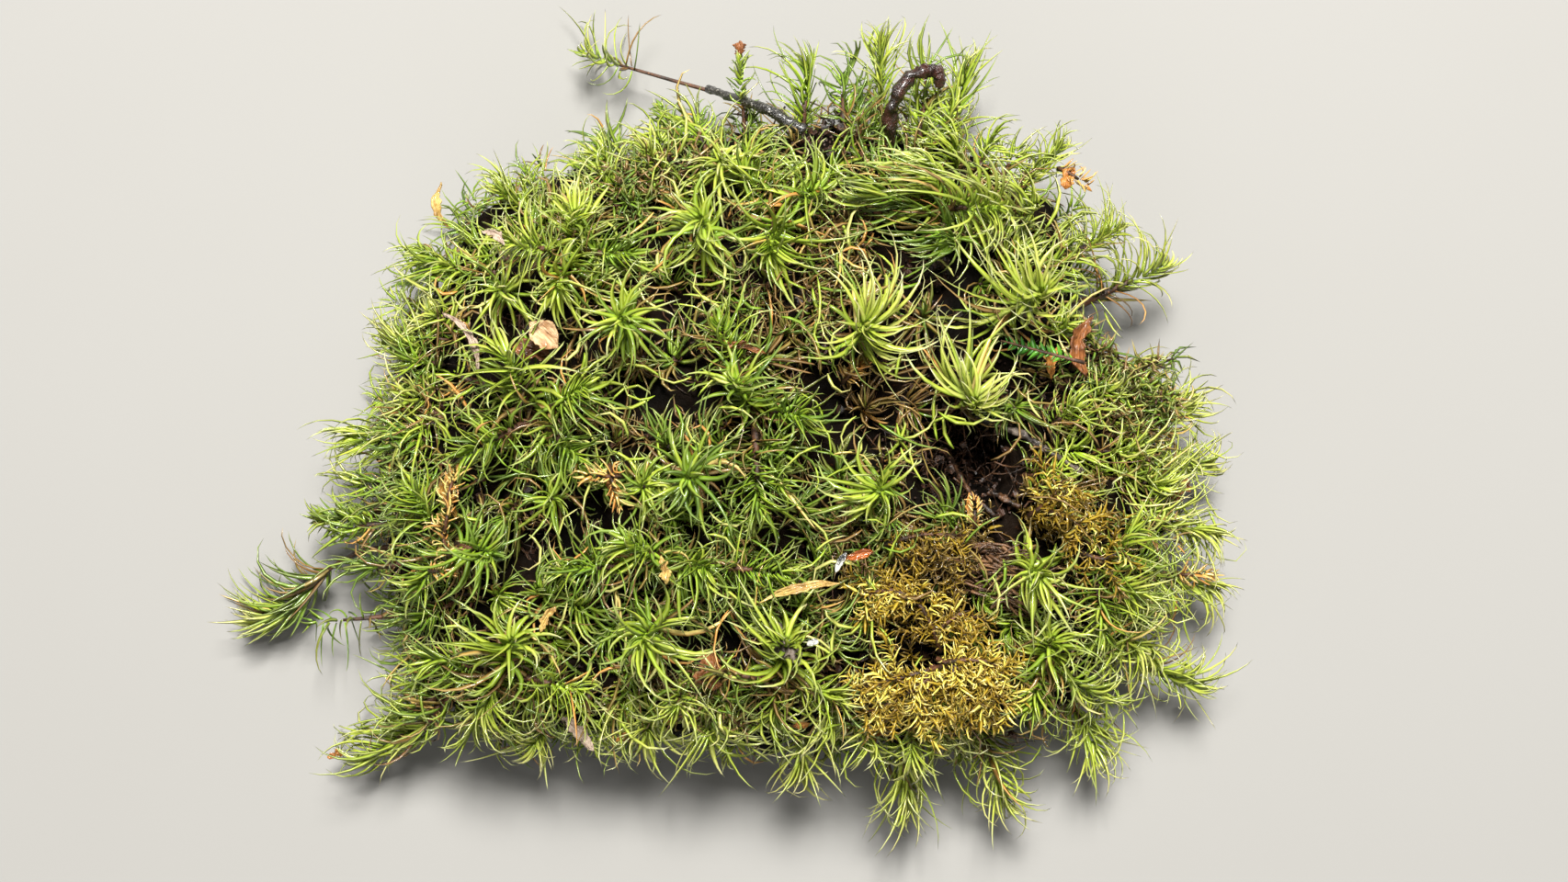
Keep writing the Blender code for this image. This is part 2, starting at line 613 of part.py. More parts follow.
def make_flake(name, x, y, outline, thickness, tint, turn, curl, lift=0.0):
    """A thin dead leaf or scale: an outline bent along its length, to be set down on the bed."""
    body = Body(name, tint, 0.5)
    body.place = Vector((x, y, 0))
    angle = math.radians(turn)
    along = Vector((math.cos(angle), math.sin(angle), 0))
    across = Vector((-math.sin(angle), math.cos(angle), 0))
    rings = []
    for z in (0.0, thickness):
        first = len(body.points)
        for u, v in outline:
            rise = curl * v * v + lift * u
            body.points.append(Vector((x, y, z + rise)) + along * u + across * v)
        rings.append(list(range(first, first + len(outline))))
    body.join_rings(*rings)
    body.faces.append(tuple(reversed(rings[0])))
    body.faces.append(tuple(rings[1]))
    return body


def set_down(body, bed_tree):
    """Lowers a flake until it lies a gap over the bed."""
    gaps = []
    for face in body.faces:
        corners = [body.points[number] for number in face]
        for spot in [*corners, sum(corners, Vector()) / len(corners)]:
            start = Vector((spot.x, spot.y, 80))
            hit = bed_tree.ray_cast(start, Vector((0, 0, -1)))[0]
            if hit is not None:
                gaps.append(spot.z - hit.z)
    drop = min(gaps) - 1.6 * GAP
    body.points = [point - Vector((0, 0, drop)) for point in body.points]


def bed_top_points():
    """Points spread evenly over the top of the bed, inside its edge, and a little out of line."""
    rng = random.Random("bed")
    spots = []
    rows = int(max(radius for _, radius in RIM) / BED_PITCH) + 2
    for row in range(-rows, rows + 1):
        for column in range(-rows, rows + 1):
            x = (column + 0.5 * (row % 2)) * BED_PITCH + rng.uniform(-0.9, 0.9)
            y = row * BED_PITCH * 0.87 + rng.uniform(-0.9, 0.9)
            if math.hypot(x, y) < 0.86 * rim_radius(math.atan2(y, x)) - 1.0:
                spots.append((x, y))
    return spots


def add_bed_sides(body):
    """The underside and the ragged side of the bed. Returns its upper edge."""
    rings = []
    for z, share, ragged in BED_LEVELS:
        first = len(body.points)
        for k in range(BED_SIDES):
            angle = 2 * math.pi * k / BED_SIDES
            out = Vector((math.cos(angle), math.sin(angle), 0))
            torn = 1 + ragged * noise.noise(out * 7 + Vector((0, 0, share * 9)))
            spot = out * (rim_radius(angle) * share * torn)
            spot.z = bed_height(spot.x, spot.y) if z is None else z
            body.points.append(spot)
        rings.append(list(range(first, first + BED_SIDES)))
    for lower, upper in zip(rings, rings[1:]):
        body.join_rings(lower, upper)
    body.faces.append(tuple(reversed(rings[0])))
    return rings[-1]


def make_bed(bare_spots):
    """The peat bed: flat underneath, undercut at the side, and grown over with low moss on top.

    The points of the moss stand on the triangles of the top, apart from those near a bare spot,
    which is given as x, y and a distance.
    """
    body = Body("peat_bed", PEAT, 0.9)
    edge = add_bed_sides(body)
    flat = [body.points[number].to_2d() for number in edge]
    flat += [Vector(spot) for spot in bed_top_points()]
    outline = list(range(len(edge)))
    inside_outline = 1
    found = geometry.delaunay_2d_cdt(flat, [], [outline], inside_outline, 1e-6)
    numbers = list(edge)
    for spot in found[0][len(edge) :]:
        numbers.append(len(body.points))
        body.points.append(Vector((spot.x, spot.y, bed_height(spot.x, spot.y))))
    rng = random.Random("low moss")
    for triangle in found[2]:
        face = tuple(numbers[k] for k in triangle)
        middle = sum((body.points[number] for number in face), Vector()) / 3
        rise = rng.uniform(*LOW_MOSS)
        lean = Vector((rng.uniform(-1, 1), rng.uniform(-1, 1), 0)) + 0.02 * middle.to_2d().to_3d()
        if any(math.hypot(middle.x - x, middle.y - y) < near for x, y, near in bare_spots):
            body.faces.append(face)
        else:
            raise_to_point(body, face, rise, lean)
    return body


def bare_bed_spots():
    """Where the top of the bed carries no low moss, because a pit or another piece is there."""
    spots = [(x, y, across + 2.5) for x, y, _, across, _, _ in PITS]
    spots += [(root.x, root.y, 4.6) for root, _, _ in map(stem_path, TALL_SHOOTS)]
    spots += [(*tuft_foot(shoots)[0].to_2d(), TUFT_FOOT[0] + 3.2) for shoots in TUFTS]
    for _, x, y, half_length, half_width, _, turn in CUSHIONS:
        for share in (-0.6, 0.0, 0.6):
            along = half_length * share
            angle = math.radians(turn)
            spots.append((x + along * math.cos(angle), y + along * math.sin(angle), half_width + 2.6))
    spots += [(*flake[1:3], 4.0) for flake in FLAKES]
    spots.append((*DARK_TWIG[1][:2], 3.5))
    return spots


def add_pits(cutter):
    """Rough egg shapes that cut the pits."""
    for x, y, z, across, along, tall in PITS:
        ball = bmesh.new()
        bmesh.ops.create_icosphere(ball, subdivisions=2, radius=1.0)
        first = len(cutter.points)
        for vertex in ball.verts:
            swell = 1 + 0.22 * noise.noise(vertex.co * 1.7 + Vector((x, y, 0)))
            co = vertex.co * swell
            cutter.points.append(Vector((x + co.x * across, y + co.y * along, z + co.z * tall)))
        for face in ball.faces:
            cutter.faces.append(tuple(first + vertex.index for vertex in face.verts))
        ball.free()


def material_for(body):
    """The piece's own Principled material."""
    material = bpy.data.materials.new(body.name)
    material.use_nodes = True
    shader = material.node_tree.nodes["Principled BSDF"]
    shader.inputs["Base Color"].default_value = (*body.tint, 1.0)
    shader.inputs["Roughness"].default_value = body.roughness
    shader.inputs["Metallic"].default_value = 0.0
    material.diffuse_color = (*body.tint, 1.0)
    return material


def add_object(body, parent):
    """Turns a body into a Blender object in metres, with its origin at its foot."""
    mesh = bpy.data.meshes.new(body.name)
    mesh.from_pydata([tuple((point - body.place) * MM) for point in body.points], [], body.faces)
    shape = bmesh.new()
    shape.from_mesh(mesh)
    bmesh.ops.triangulate(shape, faces=[face for face in shape.faces if len(face.verts) > 3])
    shape.to_mesh(mesh)
    shape.free()
    mesh.update()
    mesh.shade_smooth()
    mesh.set_sharp_from_angle(angle=SMOOTH_ANGLE)
    mesh.materials.append(material_for(body))
    piece = bpy.data.objects.new(body.name, mesh)
    piece.location = body.place * MM
    piece.parent = parent
    bpy.context.scene.collection.objects.link(piece)
    return piece


def add_cutter(body, parent, piece):
    """Adds a hidden cutter and takes it out of a piece."""
    cutter = add_object(body, parent)
    cutter.hide_render = True
    cutter.display_type = "WIRE"
    cut = piece.modifiers.new(body.name, "BOOLEAN")
    cut.operation = "DIFFERENCE"
    cut.solver = "EXACT"
    cut.object = cutter


def grow_all(buds, others):
    """Grows one leaf on each bud in turn, so that neighbours share the room between them."""
    trees = {body.name: measured(body, range(len(body.faces))) for body in others}
    for bud in buds:
        trees[bud.key] = measured(bud.body, bud.own_faces)
        random.Random(bud.key).shuffle(bud.open_faces)
    while any(bud.open_faces for bud in buds):
        for bud in buds:
            if bud.open_faces:
                grow_leaf(bud, trees)
                trees[bud.key] = measured(bud.body, bud.own_faces)


def tuft_lump(body, buds):
    """The foot of a tuft as a body of its own, to keep the leaves off it."""
    lump = Body(f"{body.name}/foot", body.tint)
    lump.points = body.points
    grown = {face for bud in buds for face in bud.own_faces}
    lump.faces = [face for number, face in enumerate(body.faces) if number not in grown]
    return lump


def main():
    """Builds the clump."""
    for thing in list(bpy.data.objects):
        bpy.data.objects.remove(thing, do_unlink=True)
    parent = bpy.data.objects.new("moss_clump", None)
    bpy.context.scene.collection.objects.link(parent)

    bed = make_bed(bare_bed_spots())
    bed_tree = bed.tree()
    pits = Body("bed_pits", PEAT)
    add_pits(pits)

    buds = []
    for number, shoot in enumerate(TALL_SHOOTS, 1):
        buds.append(make_shoot(f"tall_shoot_{number:02d}", shoot, bed_tree))
    for number, shoot in enumerate(RIM_SHOOTS, 1):
        buds.append(make_shoot(f"rim_shoot_{number:02d}", shoot, bed_tree, YOUNG_LEAVES))
    buds.append(make_lying_shoot("lying_shoot", LYING_STEM, LYING_SHOOT, bed_tree, 1.3))
    buds.append(make_lying_shoot("fallen_shoot", FALLEN_STEM, FALLEN_SHOOT, bed_tree, 1.1))
    bodies = [bud.body for bud in buds]

    feet = []
    for number, shoots in enumerate(TUFTS, 1):
        body, tuft_buds = make_tuft(f"moss_tuft_{number:02d}", shoots, bed_tree)
        feet.append(tuft_lump(body, tuft_buds))
        buds += tuft_buds
        bodies.append(body)

    loose = [make_cushion(*cushion, bed_tree) for cushion in CUSHIONS]
    loose.append(make_stick("dark_twig", DARK_TWIG, TWIG_RADII, BARK, bed_tree))
    for flake_sizes in FLAKES:
        flake = make_flake(*flake_sizes)
        set_down(flake, bed_tree)
        loose.append(flake)
    grow_all(buds, [bed, *feet, *loose])

    bed_object = add_object(bed, parent)
    add_cutter(pits, parent, bed_object)
    for body in [*bodies, *loose]:
        add_object(body, parent)


main()
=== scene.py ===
"""A clump of broom moss on its bed of peat, modelled over its solids.

Every shoot, cushion and dead leaf stands where its solid stands. Lengths are millimetres until a mesh is
made, x to the right and y up in a view from straight above, z up from the flat underside.
"""

import logging
import math
from dataclasses import dataclass, field, replace
from enum import Enum
from typing import Callable, Iterable, Sequence

import bmesh
import bpy
import numpy as np
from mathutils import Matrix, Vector, noise

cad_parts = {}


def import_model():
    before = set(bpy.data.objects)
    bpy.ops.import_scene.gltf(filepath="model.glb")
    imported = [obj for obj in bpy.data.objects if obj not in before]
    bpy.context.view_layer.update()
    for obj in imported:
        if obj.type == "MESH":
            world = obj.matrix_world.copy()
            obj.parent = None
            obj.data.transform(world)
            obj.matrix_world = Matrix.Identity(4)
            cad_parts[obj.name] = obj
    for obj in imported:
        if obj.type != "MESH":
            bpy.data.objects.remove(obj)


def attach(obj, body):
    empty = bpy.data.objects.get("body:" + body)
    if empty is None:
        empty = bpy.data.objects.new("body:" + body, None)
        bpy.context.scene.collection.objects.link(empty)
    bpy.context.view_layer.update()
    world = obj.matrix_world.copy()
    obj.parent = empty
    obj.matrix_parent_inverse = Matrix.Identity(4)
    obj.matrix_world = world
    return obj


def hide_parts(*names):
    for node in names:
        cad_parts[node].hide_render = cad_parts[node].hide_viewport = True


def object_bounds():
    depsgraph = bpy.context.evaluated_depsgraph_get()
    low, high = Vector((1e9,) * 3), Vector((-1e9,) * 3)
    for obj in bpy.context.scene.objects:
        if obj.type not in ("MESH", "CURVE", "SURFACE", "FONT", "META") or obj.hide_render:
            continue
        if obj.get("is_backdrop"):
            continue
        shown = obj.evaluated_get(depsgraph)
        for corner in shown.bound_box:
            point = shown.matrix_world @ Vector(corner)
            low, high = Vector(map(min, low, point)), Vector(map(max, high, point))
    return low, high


MM = 0.001
EYE_HEIGHT = 300.0  # the layout below was read from straight above, from this height
EYE_X = 2.76  # and from over this x
GOLDEN_ANGLE = math.radians(137.5)
TURN = 2 * math.pi  # once round
TINT_BINS = 32  # shades of leaf side by side in a leaf's UV map
BIN_LENGTH = 0.25  # how far up the map a leaf reaches
MAP_NAME = "OFBake"

# Shades of leaf, from 0 to 1 across the map: brown, then green from deep to pale, then straw, amber and rust
BROWNEST, PALEST = 0.02, 0.89
DEEPEST_GREEN = 0.22
WITHERED = (0.02, 0.16)
STRAW = (0.93, 0.999)
AMBER = (0.945, 0.985)
BROWN_SHOOT = 0.24  # a shoot darker than this is brown all over
AMBER_SHOOT = 0.90  # and one lighter than this is dead and amber

Point = tuple[float, float, float]
Colour = tuple[float, float, float]

log = logging.getLogger("moss")


class Habit(Enum):
    """How the leaves of a shoot lie."""

    STAR = "all round, bent outwards"
    FULL = "as a star, with many fine leaves"
    SWEPT = "all combed one way"
    BROOM = "upright, in a brush"
    COMBED = "hugging the stem, curved over at their tips"
    SHORT = "short leaves, close together"
    TRAILING = "leafy far down a lying stem, and dark there"
    OLD = "sparse, brown and hanging"
    STUBBY = "a few short leaves near the tip only"
    LOOSE = "a few thin leaves, far apart"


STAR, FULL, SWEPT, BROOM, COMBED, SHORT, TRAILING, OLD, STUBBY, LOOSE = Habit


@dataclass(frozen=True)
class Shoot:
    """One leafy shoot: its bud as seen from above, its lean away from its root, and how its leaves lie."""

    x: float
    y: float
    z: float
    lean: tuple[float, float] = (0.0, 0.0)
    reach: float = 6.7
    droop: float = 0.5
    sweep: tuple[float, float] = (0.0, 0.0)
    root_z: float = 0.0
    tint: float = 0.5
    habit: Habit = STAR
    curl: tuple[float, float] | None = None  # the way that its leaves bend, if that isn't the way that it is swept


def shoots(*rows: tuple) -> tuple[Shoot, ...]:
    """Shoots, each from a row of its sizes in the order of the fields."""
    return tuple(Shoot(*row) for row in rows)


def buds(*rows: tuple) -> tuple[Shoot, ...]:
    """The shoots of one tuft, each from its x, y, height, sweep, shade and perhaps reach and habit."""
    more = ("reach", "habit")
    return tuple(Shoot(x, y, z, sweep=sweep, tint=tint, **dict(zip(more, own))) for x, y, z, sweep, tint, *own in rows)


# The layout of the solids, shoot by shoot: tall ones in the middle
TALL_SHOOTS = shoots(
    (13.5, 15.2, 32, (1, 1), 9.4, 0.3, (0.35, 0.05), 0, 0.85, FULL, (0.25, 0.75)),
    (36.0, 19.3, 27, (4, 2), 9.8, 0.2, (-0.66, -0.05), 0, 0.84, FULL, (-0.2, 0.8)),
    (27.5, 5.5, 28, (1.5, -1), 8.8, 0.2, (-0.05, 0.55), 0, 0.83, FULL, (0.0, 0.7)),
    (-8.0, 28.8, 28, (-1, 3), 8.0, 0.5, (-0.2, -0.1), 0, 0.66),
    (-18.5, 16.0, 32, (-1, 1), 7.4, 0.5, (0.1, -0.15), 0, 0.62),
    (-9.8, -4.7, 33, (-1, 0), 7.8, 0.5, (0.0, 0.0), 0, 0.52),
    (15.1, -6.5, 29, (-1, -1), 7.2, 0.5, (-0.35, 0.0), 0, 0.66),
    (-15.4, -25.8, 29, (-1, -2), 8.8, 0.5, (0.3, -0.3), 0, 0.66),
    (36.0, -17.5, 27, (2, -1), 8.0, 0.55, (0.0, -0.4), 0, 0.7),
)

# Shoots round the rim, which lean out of the side of the bed and droop; those at the right and the bottom have paler
# shades, partly their own colour and partly painted light on leaves that droop away from the key light
RIM_SHOOTS = shoots(
    (-33.4, 32.4, 15, (-6, 5), 6.4, 0.35, (-0.3, 0.1), 8, 0.72, COMBED),
    (-20.8, 36.8, 15, (-2, 7), 5.8, 0.35, (-0.4, 0.2), 8, 0.7, COMBED),
    (-13.0, 42.8, 11, (-5, 13), 5.0, 0.3, (-0.4, 0.1), 7, 0.5, SHORT),
    (-3.0, 49.0, 15, (-1, 14), 4.5, 0.2, (0.0, 0.4), 10, 0.62, STUBBY),
    (5.8, 48.0, 15, (1, 11), 7.2, 0.25, (-0.5, 0.7), 11, 0.58, BROOM),
    (15.4, 50.6, 13, (0, 14), 7.5, 0.25, (0.0, 0.5), 8, 0.74, BROOM),
    (26.4, 47.4, 12, (3, 12), 8.0, 0.3, (0.1, 0.4), 8, 0.7, BROOM),
    (38.0, 37.6, 13, (8, 9), 5.4, 0.3, (0.2, 0.2), 8, 0.76, COMBED),
    (45.4, 27.4, 14, (10, 6), 6.0, 0.4, (-0.3, 0.1), 8, 0.76, COMBED),
    (51.4, 22.4, 11, (11, 5), 7.6, 0.35, (-0.6, 0.0), 7, 0.82, SWEPT),
    (49.4, 10.0, 14, (11, 3), 5.6, 0.4, (0.1, -0.4), 7, 0.66, COMBED),
    (54.2, 4.4, 12, (11, 2), 8.0, 0.35, (0.3, 0.3), 8, 0.78, COMBED),
    (56.8, -3.2, 8, (12, -1), 6.6, 0.3, (0.2, 0.2), 6, 0.78, SWEPT),
    (57.4, -11.6, 11, (12, -1), 6.8, 0.5, (0.1, -0.3), 8, 0.74, COMBED),
    (57.8, -19.0, 8, (12, -2), 6.6, 0.5, (0.1, -0.4), 6, 0.78, COMBED),
    (49.4, -27.0, 14, (10, -5), 8.0, 0.5, (-0.2, -0.1), 7, 0.7, COMBED),
    (55.8, -31.8, 8, (11, -5), 7.0, 0.35, (0.1, 0.2), 6, 0.78, COMBED),
    (43.4, -40.0, 9, (5, -9), 6.8, 0.35, (0.1, -0.3), 7, 0.66, COMBED),
    (31.0, -45.6, 9, (3, -10), 8.0, 0.35, (0.1, -0.2), 7, 0.8, COMBED),
    (18.6, -45.2, 9, (1, -11), 9.2, 0.3, (0.0, -0.5), 7, 0.84, COMBED),
    (4.8, -41.6, 12, (0, -9), 8.2, 0.4, (0.0, -0.3), 8, 0.85),
    (-6.8, -37.8, 17, (0, -6), 9.4, 0.45, (0.1, -0.1), 8, 0.86),
    (-15.0, -37.2, 16, (-1, -6), 9.4, 0.4, (0.0, -0.2), 7, 0.86),
    (-29.6, -38.8, 12, (-2, -7), 8.0, 0.35, (-0.3, 0.2), 7, 0.8),
    (-50.4, -40.6, 6, (-20, -13), 8.5, 0.2, (-0.6, 0.0), 7, 0.74, SWEPT),
    (-58.0, -23.6, 7, (-12, -1), 6.6, 0.5, (0.0, -0.6), 6, 0.34, OLD),
    (-57.0, -10.0, 9, (-10, 0), 7.0, 0.35, (-0.3, 0.0), 7, 0.58, SHORT),
    (-52.4, 0.4, 12, (-10, 0), 8.0, 0.35, (-0.6, -0.1), 8, 0.74, SWEPT),
    (-48.0, 12.6, 12, (-9, 3), 5.6, 0.35, (-0.3, 0.2), 8, 0.68, COMBED),
    (-43.6, 24.0, 15, (-8, 5), 6.6, 0.45, (-0.4, -0.2), 9, 0.66, COMBED),
)

# Tufts of a few shoots grown together, each the buds that it holds
TUFTS = (
    buds(
        (-32.0, 25.7, 26, (-0.2, 0.1), 0.78),
        (-24.5, 29.2, 25, (0.1, 0.3), 0.74),
        (-26.6, 20.4, 27, (0.2, -0.2), 0.74),
        (-18.2, 24.6, 26, (0.2, 0.0), 0.54),
    ),
    buds(
        (-24.0, 6.6, 29, (0.3, -0.1), 0.6),
        (-33.1, 10.5, 28, (0, 0), 0.72, 8.5),
        (-38.4, -1.6, 26, (-0.3, 0.0), 0.64),
        (-24.6, -2.0, 29, (0.1, -0.3), 0.54),
    ),
    buds(
        (-36.0, -14.6, 26, (-0.4, 0.0), 0.52),
        (-44.6, -18.4, 22, (-0.5, 0.0), 0.58),
        (-45.0, -7.4, 23, (-0.3, 0.2), 0.6),
    ),
    buds(
        (-3.4, 7.4, 30, (0.2, 0.2), 0.58),
        (4.6, 3.4, 29, (0.3, 0.0), 0.5),
        (-0.6, -8.4, 30, (0.2, -0.2), 0.56),
        (-5.4, 14.8, 30, (0.0, 0.3), 0.6),
    ),
    buds(
        (-17.0, -13.4, 30, (-0.2, -0.1), 0.58),
        (-8.0, -16.4, 29, (-0.1, -0.4), 0.6),
        (-25.6, -16.8, 28, (-0.3, -0.1), 0.54),
        (2.2, -17.2, 28, (0.3, -0.1), 0.6),
    ),
    buds(
        (48.0, -12.0, 21, (0.3, -0.1), 0.7),
        (47.6, -19.6, 20, (0.2, -0.2), 0.76),
        (44.4, -24.6, 21, (0.0, -0.3), 0.66),
    ),
    buds(
        (37.6, -26.4, 23, (0.1, -0.2), 0.7),
        (42.6, -32.4, 18, (0.1, 0.2), 0.8),
        (35.4, -33.6, 20, (-0.2, -0.2), 0.6),
    ),
    buds(
        (22.4, 34.4, 24, (-0.95, -0.02), 0.68, 8.2, SWEPT),
        (30.0, 30.6, 24, (-0.95, 0.0), 0.77, 8.6, SWEPT),
        (14.4, 32.4, 26, (-0.7, 0.2), 0.6, 7.6, SWEPT),
        (24.6, 26.0, 26, (-0.8, 0.3), 0.4, 6.2, SWEPT),
    ),
    buds(
        (1.0, 25.2, 27, (0.3, 0.1), 0.68, 8.5),
        (6.8, 32.6, 25, (-0.4, 0.1), 0.6),
        (-2.4, 35.0, 22, (0.3, 0.3), 0.66),
    ),
    # The two tufts near the bottom are paler, partly their own colour and partly painted light
    buds(
        (-33.0, -26.3, 26, (-0.2, -0.1), 0.66, 8.5),
        (-24.4, -32.4, 23, (-0.2, -0.2), 0.76),
        (-36.4, -34.6, 19, (0.2, 0.2), 0.78),
        (-42.8, -28.4, 20, (-0.4, -0.1), 0.57),
    ),
    buds(
        (2.9, -26.4, 28, (-0.1, 0.2), 0.74, 9.0),
        (9.0, -33.0, 23, (0.2, -0.2), 0.76),
        (-6.0, -30.4, 25, (0.1, -0.3), 0.2, 6.7, OLD),
        (1.6, -35.2, 20, (0.0, -0.3), 0.76),
    ),
)

# Dead amber shoots that lie on the moss: x, y, z, lean, reach, sweep and height of the root
DEAD_SHOOTS = tuple(
    Shoot(x, y, z, lean, reach, 0.2, sweep, root_z, 0.97, STUBBY)
    for x, y, z, lean, reach, sweep, root_z in (
        (-40.2, -4.4, 26, (1, 4), 3.2, (0.1, 0.8), 25),
        (-40.6, -8.0, 26, (1, 4), 3.2, (-0.5, 0.4), 25),
        (-42.0, -11.0, 25, (-1, 4), 2.8, (-0.4, -0.6), 24),
        (-22.6, -4.6, 30, (-4, 0), 3.4, (-0.7, 0.2), 29),
        (-19.0, -7.6, 30, (1, -4), 2.8, (0.4, -0.6), 29),
        (-41.4, -17.0, 24, (2, 0), 2.4, (0.5, 0.2), 23),
        (57.8, -17.4, 11, (4, 0), 3.4, (0.7, 0.0), 10),
        (27.6, -8.2, 26, (0, 3), 2.0, (0.0, 0.8), 25),
        (12.6, 9.8, 25, (2, 2), 3.0, (0.4, 0.4), 24),
        (41.8, 33.6, 15, (3, -2), 2.8, (0.3, 0.5), 14),
    )
)

# Two shoots on long bare stems that lie out over the surface: points of the stem from its root, then its bud
LYING_STEM = ((8.4, 35.4, 6.4), (4.6, 41.2, 6.6), (-4.5, 44.9, 6.0), (-13.0, 47.4, 5.4), (-20.5, 49.6, 5.2))
LYING_SHOOT = Shoot(-22.4, 50.4, 5.6, reach=6.0, droop=0.0, sweep=(-0.1, 0.5), tint=0.80, habit=LOOSE)
FALLEN_STEM = ((-46.0, -13.6, 9.0), (-53.0, -14.6, 7.6), (-58.0, -18.0, 5.4), (-61.0, -21.6, 4.2))
FALLEN_SHOOT = Shoot(-64.4, -23.0, 4.0, (0, 0), 7.2, 0.3, (-0.5, 0.1), 0, 0.78, TRAILING, (-0.7, 0.4))

# Rim of the bed: degrees round from +X, and radius
RIM = (
    (0, 49), (10, 47.5), (17, 42), (24, 42.5), (32, 46), (45, 45), (65, 42), (90, 38.5), (110, 38), (130, 42),
    (150, 45), (170, 46), (190, 48), (205, 50), (220, 51), (240, 42), (260, 37.5), (280, 37.5), (300, 43),
    (320, 51), (340, 51.5),
)
BED_TOP = 20.5
BED_EDGE = 13.0
CANOPY_TOP = 29.5  # how high the moss stands in the middle
CANOPY_FALL = 13.0  # and how much lower at the rim
ROUNDING = 2.4  # how late the cushion falls off on its way out

# Pits in the top of the bed: x, y, z of the middle, and half the width, depth and height
PITS = (
    (24.6, -2.4, 18.5, 6.2, 6.2, 9.5),
    (-28.6, -12.0, 20.0, 3.2, 3.0, 7.0),
    (-29.6, 15.0, 20.0, 2.9, 2.8, 6.0),
)


def from_above(x: float, y: float, z: float) -> Vector:
    """Where a thing at height z stands, if it is seen at x, y from the eye over the clump.

    Args:
        x: its place to the right, as seen.
        y: its place up the view, as seen.
        z: its height.

    Returns:
        Its place in millimetres.
    """
    share = 1 - z / EYE_HEIGHT
    return Vector((EYE_X + (x - EYE_X) * share, y * share, z))


def rim_radius(angle: float) -> float:
    """Radius of the bed's rim, with its own small bays and lobes.

    Args:
        angle: the way round from +X, in radians.

    Returns:
        The radius in millimetres.
    """
    turn, radius = zip(*RIM)
    smooth = float(np.interp(math.degrees(angle) % 360, turn, radius, period=360))
    return smooth * (1 + 0.035 * noise.noise(Vector((*ray(angle), 0.0)) * 4.1))


def bed_height(x: float, y: float) -> float:
    """Height of the lumpy top of the peat, all in millimetres.

    Args:
        x: the place to the right.
        y: the place up the view.

    Returns:
        The height of the peat there.
    """
    share = min(1.0, math.hypot(x, y) / rim_radius(math.atan2(y, x)))
    crown = BED_EDGE + (BED_TOP - BED_EDGE) * (1 - share**ROUNDING)
    broad_lumps = 1.5 * noise.noise(Vector((x / 11, y / 11, 0.4)))
    small_lumps = 0.7 * noise.noise(Vector((x / 5, y / 5, 3.1)))
    return crown + broad_lumps + small_lumps


def ray(angle: float, length: float = 1.0) -> tuple[float, float]:
    """How far right and up a step goes that is taken at an angle."""
    return length * math.cos(angle), length * math.sin(angle)


def up(height: float) -> Vector:
    """A step straight up."""
    return Vector((0, 0, height))


def canopy(share: float | np.ndarray) -> float | np.ndarray:
    """How high the moss stands at a share of the rim's radius."""
    return CANOPY_TOP - CANOPY_FALL * share**ROUNDING


def unit(vectors: np.ndarray) -> np.ndarray:
    """The vectors, each of length one."""
    return vectors / np.maximum(np.linalg.norm(vectors, axis=-1, keepdims=True), 1e-9)


def square_to(direction: np.ndarray) -> tuple[np.ndarray, np.ndarray]:
    """Two unit vectors square to a direction and to each other.

    Args:
        direction: the direction, of length one.

    Returns:
        The two vectors.
    """
    helper = np.array((0.0, 1.0, 0.0)) if abs(direction[2]) > 0.75 else np.array((0.0, 0.0, 1.0))
    side = unit(np.cross(helper, direction))
    return side, np.cross(direction, side)


def curve_through(points: Sequence[Sequence[float]], count: int) -> np.ndarray:
    """Evenly numbered places on a smooth curve through some points.

    Args:
        points: the points that it passes through.
        count: how many places to return.

    Returns:
        An array of count places.
    """
    known = np.array([tuple(point) for point in points], float)
    padded = np.vstack([2 * known[0] - known[1], known, 2 * known[-1] - known[-2]])
    spans = len(known) - 1
    places = []
    for t in np.linspace(0, spans, count):
        k = min(int(t), spans - 1)
        u = t - k
        a, b, c, d = padded[k : k + 4]
        places.append(0.5 * (2 * b + (c - a) * u + (2 * a - 5 * b + 4 * c - d) * u**2 + (3 * b - a - 3 * c + d) * u**3))
    return np.array(places)


class Value:
    """A shader socket that can be used in an expression."""

    def __init__(self, net: "Net", socket: bpy.types.NodeSocket) -> None:
        """Keeps the socket and the net that it belongs to."""
        self.net = net
        self.socket = socket

    def math(self, operation: str, *others: "Value | float") -> "Value":
        """This value and others put through one Math node."""
        return self.net.make("ShaderNodeMath", {"operation": operation}, {k: v for k, v in enumerate((self, *others))})

    def __add__(self, other: "Value | float") -> "Value":
        """self + other."""
        return self.math("ADD", other)

    __radd__ = __add__

    def __mul__(self, other: "Value | float") -> "Value":
        """self * other."""
        return self.math("MULTIPLY", other)

    __rmul__ = __mul__

    def __sub__(self, other: "Value | float") -> "Value":
        """self - other."""
        return self.math("SUBTRACT", other)

    def __rsub__(self, other: float) -> "Value":
        """other - self."""
        return self.net.make("ShaderNodeMath", {"operation": "SUBTRACT"}, {0: other, 1: self})

    def __pow__(self, other: float) -> "Value":
        """self to a power."""
        return self.math("POWER", other)

    def between(self, low: float, high: float) -> "Value":
        """How far this value is from low to high, eased, from 0 to 1."""
        settings = {"interpolation_type": "SMOOTHSTEP"}
        return self.net.make("ShaderNodeMapRange", settings, {"Value": self, "From Min": low, "From Max": high})


